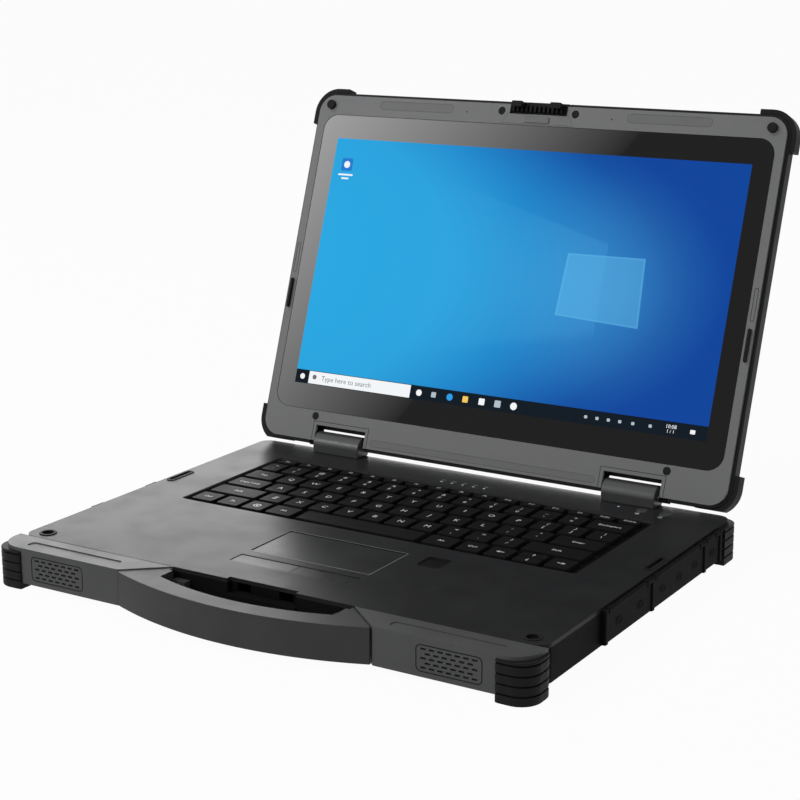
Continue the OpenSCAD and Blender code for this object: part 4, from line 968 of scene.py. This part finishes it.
class LAPTOP_OT_inside(LaptopOperator, bpy.types.Operator):
    """Finishes of the pieces inside the case and lid"""

    bl_idname = "laptop.inside"
    bl_label = "Inside"

    def build(self, look):
        uses = {
            "motherboard": "board", "port_sockets": "steel", "battery_pack": "case",
            "solid_state_drive": "aluminium", "fan_housing": "case", "fan_impeller": "seam",
            "heat_sink": "copper", "display_panel": "aluminium",
        }
        for node, use in uses.items():
            recolour(node, finish_for(use))


# Screen ----------------------------------------------------------------------------

PICTURE_STOPS = (
    (0.0, (44, 168, 226)), (0.36, (45, 163, 222)), (0.48, (42, 151, 213)), (0.58, (36, 137, 204)),
    (0.68, (33, 120, 191)), (0.78, (28, 100, 177)), (0.88, (22, 80, 162)), (1.0, (20, 70, 156)),
)


def wallpaper(name):
    """Lit picture: blue deepening to the right, with a soft pane of light and its beams."""
    finish = Finish(name, 0.8, 0.0)
    point = finish.node("ShaderNodeTexCoord", output="UV")
    u = finish.node("ShaderNodeSeparateXYZ", None, {0: point}, 0)
    v = finish.node("ShaderNodeSeparateXYZ", None, {0: point}, 1)
    stops = [(place, screen_colour(*colour)) for place, colour in PICTURE_STOPS]
    sweep = u + (v - 0.5) * (v - 0.5)
    base = finish.node("ShaderNodeValToRGB", {"stops": stops}, {0: sweep})
    across, up = u - 0.716, v - 0.497
    slant = up + across * 0.03
    wide = abs(across) / (0.093 - slant * 0.03)
    tall = abs(slant) / (0.125 + across * 0.06)
    edge = finish.node("ShaderNodeMath", {"operation": "MAXIMUM"}, {0: wide, 1: tall})
    pane = 1.0 - edge.between(0.975, 1.01)
    rim = edge.between(0.93, 0.985) * pane
    distance = (across * across + up * up * 0.32) ** 0.5
    halo = 1.0 - distance.between(0.02, 0.30)
    reach = (1.0 - distance.between(0.1, 0.62)) * (across < 0.0)
    below = 1.0 - (up - 0.125 + (across - 0.09) * 0.48).between(-0.006, 0.006)
    above = (up + 0.14 - (across - 0.09) * 0.35).between(-0.03, 0.03)
    beams = below * above * reach
    hazy = finish.mix(halo * 0.18 + beams * 0.09, base, screen_colour(96, 190, 240))
    lit = finish.mix(pane * 0.34 + rim * 0.2, hazy, screen_colour(104, 196, 244))
    finish.feed("Base Color", (0.0, 0.0, 0.0, 1.0))
    finish.feed("Emission Color", lit)
    finish.feed("Emission Strength", 1.0)
    return finish.material


class LAPTOP_OT_screen(LaptopOperator, bpy.types.Operator):
    """Cover glass, the lit picture and the plain signs along its bottom bar"""

    bl_idname = "laptop.screen"
    bl_label = "Screen"

    bar_low = -1.5 * MM
    bar_high = 8.0 * MM

    def build(self, look):
        softened("cover_glass", 0.15 * MM, finish_for("glass"))
        picture = sorted(
            separate_extents("display_panel", LID), key=lambda b: b[1].z)[-1]
        self.corner, self.top = self.picture_area(picture)
        self.front = extent("cover_glass", LID)[1].z
        self.picture()
        self.task_bar()
        self.desktop_icon()

    def picture_area(self, panel):
        """Lower left and upper right corner of the lit area, inside the panel's rim."""
        lo, hi = panel
        rim = 5.0 * MM
        return (lo.x + rim, lo.y + rim), (hi.x - rim, hi.y - rim)

    def sheet(self, name, x0, x1, y0, y1, level, radius, finish):
        """A thin plate on the glass, measured from the picture's lower left corner."""
        step = 0.02 * MM
        lo = (self.corner[0] + x0, self.corner[1] + y0, self.front + level * step)
        hi = (self.corner[0] + x1, self.corner[1] + y1, self.front + (level + 1) * step)
        return make_piece(name, rounded_block(lo, hi, radius, steps=3), finish, "cover_glass", LID)

    def sign(self, name, place, middle, half, level, roundness, finish):
        """A square sign of 2 * half mm at place mm from the left; roundness 1 makes it a disc."""
        half *= MM
        place *= MM
        self.sheet(
            name, place - half, place + half, middle - half, middle + half, level, half * roundness, finish)

    def picture(self):
        """The lit picture, with its own UV map from corner to corner."""
        width, height = (b - a for a, b in zip(self.corner, self.top))
        piece = self.sheet("lit_picture", 0, width, 0, height, 0, 0.2 * MM, wallpaper("wallpaper"))
        piece.visible_glossy = False
        piece.visible_diffuse = False
        layer = piece.data.uv_layers.new(name="picture")
        back = LID.inverted()
        for loop in piece.data.loops:
            spot = back @ piece.data.vertices[loop.vertex_index].co
            layer.data[loop.index].uv = (
                (spot.x - self.corner[0]) / width, (spot.y - self.corner[1]) / height)
        self.width, self.height = width, height

    def task_bar(self):
        """Dark bar with a search field, signs of programs, and the time."""
        low, bar, mid = self.bar_low, self.bar_high, (self.bar_low + self.bar_high) / 2
        dark = glow("bar_dark", (0.008, 0.013, 0.020))
        white = glow("sign_white", (0.90, 0.92, 0.94))
        blue = glow("sign_blue", (0.03, 0.33, 0.80))
        amber = glow("sign_amber", (0.90, 0.58, 0.12))
        pale = glow("sign_pale", (0.45, 0.52, 0.58))
        grey = glow("field_grey", (0.16, 0.17, 0.18))
        self.sheet("task_bar", 0, self.width, low, bar, 1, 0.1 * MM, dark)
        self.sign("menu_sign", 5.6, mid, 2.0, 2, 0.99, white)
        self.sheet("search_field", 11 * MM, 94 * MM, low + 0.4 * MM, bar - 0.4 * MM, 2, 0.2 * MM, white)
        self.sign("search_lens", 15.7, mid + 0.4 * MM, 1.7, 3, 0.988, grey)
        hint = Vector((self.corner[0] + 42 * MM, self.corner[1] + mid, self.front + 0.06 * MM))
        words = lettering("Type here to search", 5.0 * MM, hint, 0.02 * MM)
        make_piece("search_hint", words, grey, "cover_glass", LID)
        programs = [(101, 2.2, 0.97, white), (112.5, 1.8, 0.25, pale), (125, 2.4, 0.97, blue),
                    (137, 2.1, 0.25, amber), (149.5, 2.2, 0.25, white), (161.5, 2.3, 0.25, pale),
                    (173.5, 2.5, 0.97, white)]
        for i, (place, half, roundness, finish) in enumerate(programs):
            self.sign(f"program_sign_{i}", place, mid, half, 2, roundness, finish)
        for i, place in enumerate((226, 234, 242, 250, 259, 271)):
            self.sheet(f"tray_sign_{i}", (place - 1.1) * MM, (place + 1.1) * MM,
                       mid - 1.0 * MM, mid + 1.0 * MM, 2, 0.5 * MM, pale)
        time = lettering("10:08", 3.4 * MM, (0, 0, 0), 0.02 * MM)
        date = lettering("1 / 1", 3.0 * MM, (0, 0, 0), 0.02 * MM)
        spot = Vector((self.corner[0] + 285 * MM, self.corner[1] + mid, self.front + 0.04 * MM))
        make_piece("clock", join([time, date], [Matrix.Translation(spot + Vector((0, 1.4 * MM, 0))),
                                                Matrix.Translation(spot - Vector((0, 1.6 * MM, 0)))]),
                   white, "cover_glass", LID)
        self.sheet("notice_sign", 298 * MM, 301.4 * MM, mid - 1.3 * MM, mid + 1.3 * MM, 2, 0.5 * MM, white)

    def desktop_icon(self):
        """One plain program sign with a caption of bars, at the upper left."""
        blue = glow("icon_blue", (0.02, 0.20, 0.62))
        white = glow("icon_white", (0.88, 0.92, 0.96))
        top = self.height - 14 * MM
        self.sheet("icon_tile", 7 * MM, 16 * MM, top - 9 * MM, top, 1, 1.2 * MM, blue)
        self.sheet("icon_disc", 9 * MM, 14 * MM, top - 7 * MM, top - 2 * MM, 2, 2.48 * MM, white)
        for i, (start, end) in enumerate(((5.5, 17.5), (8.5, 14.5))):
            drop = top - (11.2 + 2.6 * i) * MM
            self.sheet(f"icon_caption_{i}", start * MM, end * MM, drop - 1.2 * MM, drop, 1, 0.4 * MM, white)


# Stage -----------------------------------------------------------------------------

FLOOR_GREY = (0.80, 0.80, 0.80)
WHITE_SHARE = 0.96  # how much of the floor shows as plain white; the rest takes the shadow


def backdrop_material():
    """White floor that keeps the object's shadow."""
    material = bpy.data.materials.new("floor_white")
    material.use_nodes = True
    tree = material.node_tree
    tree.nodes.clear()
    output = tree.nodes.new("ShaderNodeOutputMaterial")
    blend = tree.nodes.new("ShaderNodeMixShader")
    cloth = tree.nodes.new("ShaderNodeBsdfDiffuse")
    cloth.inputs["Color"].default_value = (*FLOOR_GREY, 1.0)
    white = tree.nodes.new("ShaderNodeEmission")
    white.inputs["Color"].default_value = (1.0, 1.0, 1.0, 1.0)
    white.inputs["Strength"].default_value = 1.0
    path = tree.nodes.new("ShaderNodeLightPath")
    seen = tree.nodes.new("ShaderNodeMath")
    seen.operation = "MAXIMUM"
    share = tree.nodes.new("ShaderNodeMath")
    share.operation = "MULTIPLY"
    share.inputs[1].default_value = WHITE_SHARE
    tree.links.new(path.outputs["Is Camera Ray"], seen.inputs[0])
    tree.links.new(path.outputs["Is Glossy Ray"], seen.inputs[1])
    tree.links.new(seen.outputs[0], share.inputs[0])
    tree.links.new(share.outputs[0], blend.inputs[0])
    tree.links.new(cloth.outputs[0], blend.inputs[1])
    tree.links.new(white.outputs[0], blend.inputs[2])
    tree.links.new(blend.outputs[0], output.inputs["Surface"])
    return material


class LAPTOP_OT_stage(bpy.types.Operator):
    """White floor and surroundings, soft lamps, and the camera"""

    bl_idname = "laptop.stage"
    bl_label = "Stage"

    def execute(self, context):
        stage = context.scene.laptop_stage
        self.floor(stage)
        self.surroundings(context.scene, stage)
        self.lamps(stage)
        self.camera(context.scene, stage)
        return {"FINISHED"}

    def floor(self, stage):
        bm = bmesh.new()
        bmesh.ops.create_grid(bm, x_segments=1, y_segments=1, size=stage.floor_size / 2)
        mesh = bpy.data.meshes.new("floor")
        bm.to_mesh(mesh)
        bm.free()
        mesh.materials.append(backdrop_material())
        floor = bpy.data.objects.new("floor", mesh)
        bpy.context.scene.collection.objects.link(floor)

    def surroundings(self, scene, stage):
        """White to the camera, in mirrors and through glass, and a gentler fill for the rest."""
        world = bpy.data.worlds.new("studio")
        world.use_nodes = True
        tree = world.node_tree
        background = tree.nodes["Background"]
        background.inputs["Color"].default_value = (1.0, 1.0, 1.0, 1.0)
        path = tree.nodes.new("ShaderNodeLightPath")
        total = path.outputs["Is Camera Ray"]
        for name in ("Is Glossy Ray", "Is Transmission Ray"):
            either = tree.nodes.new("ShaderNodeMath")
            either.operation = "MAXIMUM"
            tree.links.new(total, either.inputs[0])
            tree.links.new(path.outputs[name], either.inputs[1])
            total = either.outputs[0]
        level = tree.nodes.new("ShaderNodeMapRange")
        level.inputs["To Min"].default_value = stage.fill
        level.inputs["To Max"].default_value = 1.0
        tree.links.new(total, level.inputs["Value"])
        tree.links.new(level.outputs["Result"], background.inputs["Strength"])
        scene.world = world

    def lamps(self, stage):
        """A large soft lamp at the upper left, a small one in front, and cards that only show in mirrors."""
        self.lamp("key_lamp", stage.key_power, 1.6, (-1.3, -0.9, 1.9), (0, 0, 0.05))
        self.lamp("front_lamp", stage.key_power * 0.35, 1.0, (-0.3, -1.9, 0.9), (0, 0.05, 0.12))
        side = Vector((-0.75, -0.66, 0)) * 0.9
        middle, rise = Vector((-1.45, 1.66, 0.62)), Vector((0, 0, 0.62))
        low, high = middle - rise, middle + rise
        self.card(
            "deck_card", (low - side, low + side, high + side, high - side), (1.0, 1.0, 1.0, 1.0), 0.0,
            stage.deck_sheen)
        self.card(
            "glass_card", self.mirrored_corners(stage), (1.1, 0.0, 0.0, 0.465), 1.3, stage.glass_sheen)

    def mirrored_corners(self, stage):
        """Where the glass mirrors the camera's view of four places on it, on a plane in front of it."""
        level = extent("cover_glass", LID)[1].z
        eye = LID.inverted() @ Vector(stage.camera_place)
        eye.z = 2 * level - eye.z
        corners = []
        for x, y in ((-185, 240), (82, 240), (-72, 16), (-185, 16)):
            spot = Vector((x * MM, y * MM, level))
            ray = spot - eye
            corners.append(LID @ (spot + ray * (stage.card_distance / ray.z)))
        return corners

    def card(self, name, corners, ramp, low, high):
        """A glowing card that only shows in mirrors; ramp gives how bright each corner is."""
        mesh = bpy.data.meshes.new(name)
        mesh.from_pydata([tuple(c) for c in corners], [], [(0, 1, 2, 3)])
        layer = mesh.uv_layers.new(name="ramp")
        for loop, value in zip(layer.data, ramp):
            loop.uv = (value, 0.5)
        finish = Finish(name)
        point = finish.node("ShaderNodeTexCoord", output="UV")
        along = finish.node("ShaderNodeSeparateXYZ", None, {0: point})
        finish.feed("Base Color", (0.0, 0.0, 0.0, 1.0))
        brightest = low + high
        finish.feed("Emission Color", finish.mix(along, (low / brightest,) * 3, (1.0,) * 3))
        finish.feed("Emission Strength", brightest)
        mesh.materials.append(finish.material)
        card = bpy.data.objects.new(name, mesh)
        bpy.context.scene.collection.objects.link(card)
        for ray in ("camera", "diffuse", "transmission", "volume_scatter", "shadow"):
            setattr(card, "visible_" + ray, False)

    def lamp(self, name, power, size, place, target):
        data = bpy.data.lights.new(name, "AREA")
        data.shape = "SQUARE"
        data.size = size
        data.energy = power
        lamp = bpy.data.objects.new(name, data)
        lamp.location = place
        lamp.visible_glossy = False
        lamp.rotation_euler = (Vector(target) - Vector(place)).to_track_quat("-Z", "Y").to_euler()
        bpy.context.scene.collection.objects.link(lamp)

    def camera(self, scene, stage):
        data = bpy.data.cameras.new("camera")
        data.lens = stage.lens
        data.sensor_width = 36.0
        camera = bpy.data.objects.new("camera", data)
        camera.location = stage.camera_place
        camera.rotation_euler = stage.camera_turn
        scene.collection.objects.link(camera)
        scene.camera = camera
        scene.view_settings.view_transform = "Standard"


BUILD_ORDER = (
    LAPTOP_OT_base_shell, LAPTOP_OT_front, LAPTOP_OT_bumpers, LAPTOP_OT_doors, LAPTOP_OT_keyboard,
    LAPTOP_OT_controls, LAPTOP_OT_hinges, LAPTOP_OT_lid_shell, LAPTOP_OT_latch, LAPTOP_OT_screen,
    LAPTOP_OT_inside, LAPTOP_OT_stage,
)


class LAPTOP_PT_panel(bpy.types.Panel):
    """Buttons and settings of the laptop in the sidebar"""

    bl_idname = "LAPTOP_PT_panel"
    bl_label = "Rugged laptop"
    bl_space_type = "VIEW_3D"
    bl_region_type = "UI"
    bl_category = "Laptop"

    def draw(self, context):
        for group in (context.scene.laptop_looks, context.scene.laptop_stage):
            for name in group.__annotations__:
                self.layout.prop(group, name)
        for operator in BUILD_ORDER:
            self.layout.operator(operator.bl_idname)


CLASSES = (LaptopLooks, StageSettings) + BUILD_ORDER + (LAPTOP_PT_panel,)


def register():
    for cls in CLASSES:
        bpy.utils.register_class(cls)
    bpy.types.Scene.laptop_looks = PointerProperty(type=LaptopLooks)
    bpy.types.Scene.laptop_stage = PointerProperty(type=StageSettings)


def unregister():
    del bpy.types.Scene.laptop_stage
    del bpy.types.Scene.laptop_looks
    for cls in reversed(CLASSES):
        bpy.utils.unregister_class(cls)


def run(operator):
    """Calls an operator by its name, as a button would."""
    group, name = operator.bl_idname.split(".")
    getattr(getattr(bpy.ops, group), name)()


def main():
    register()
    for operator in BUILD_ORDER:
        run(operator)


if __name__ == "__main__":
    main()
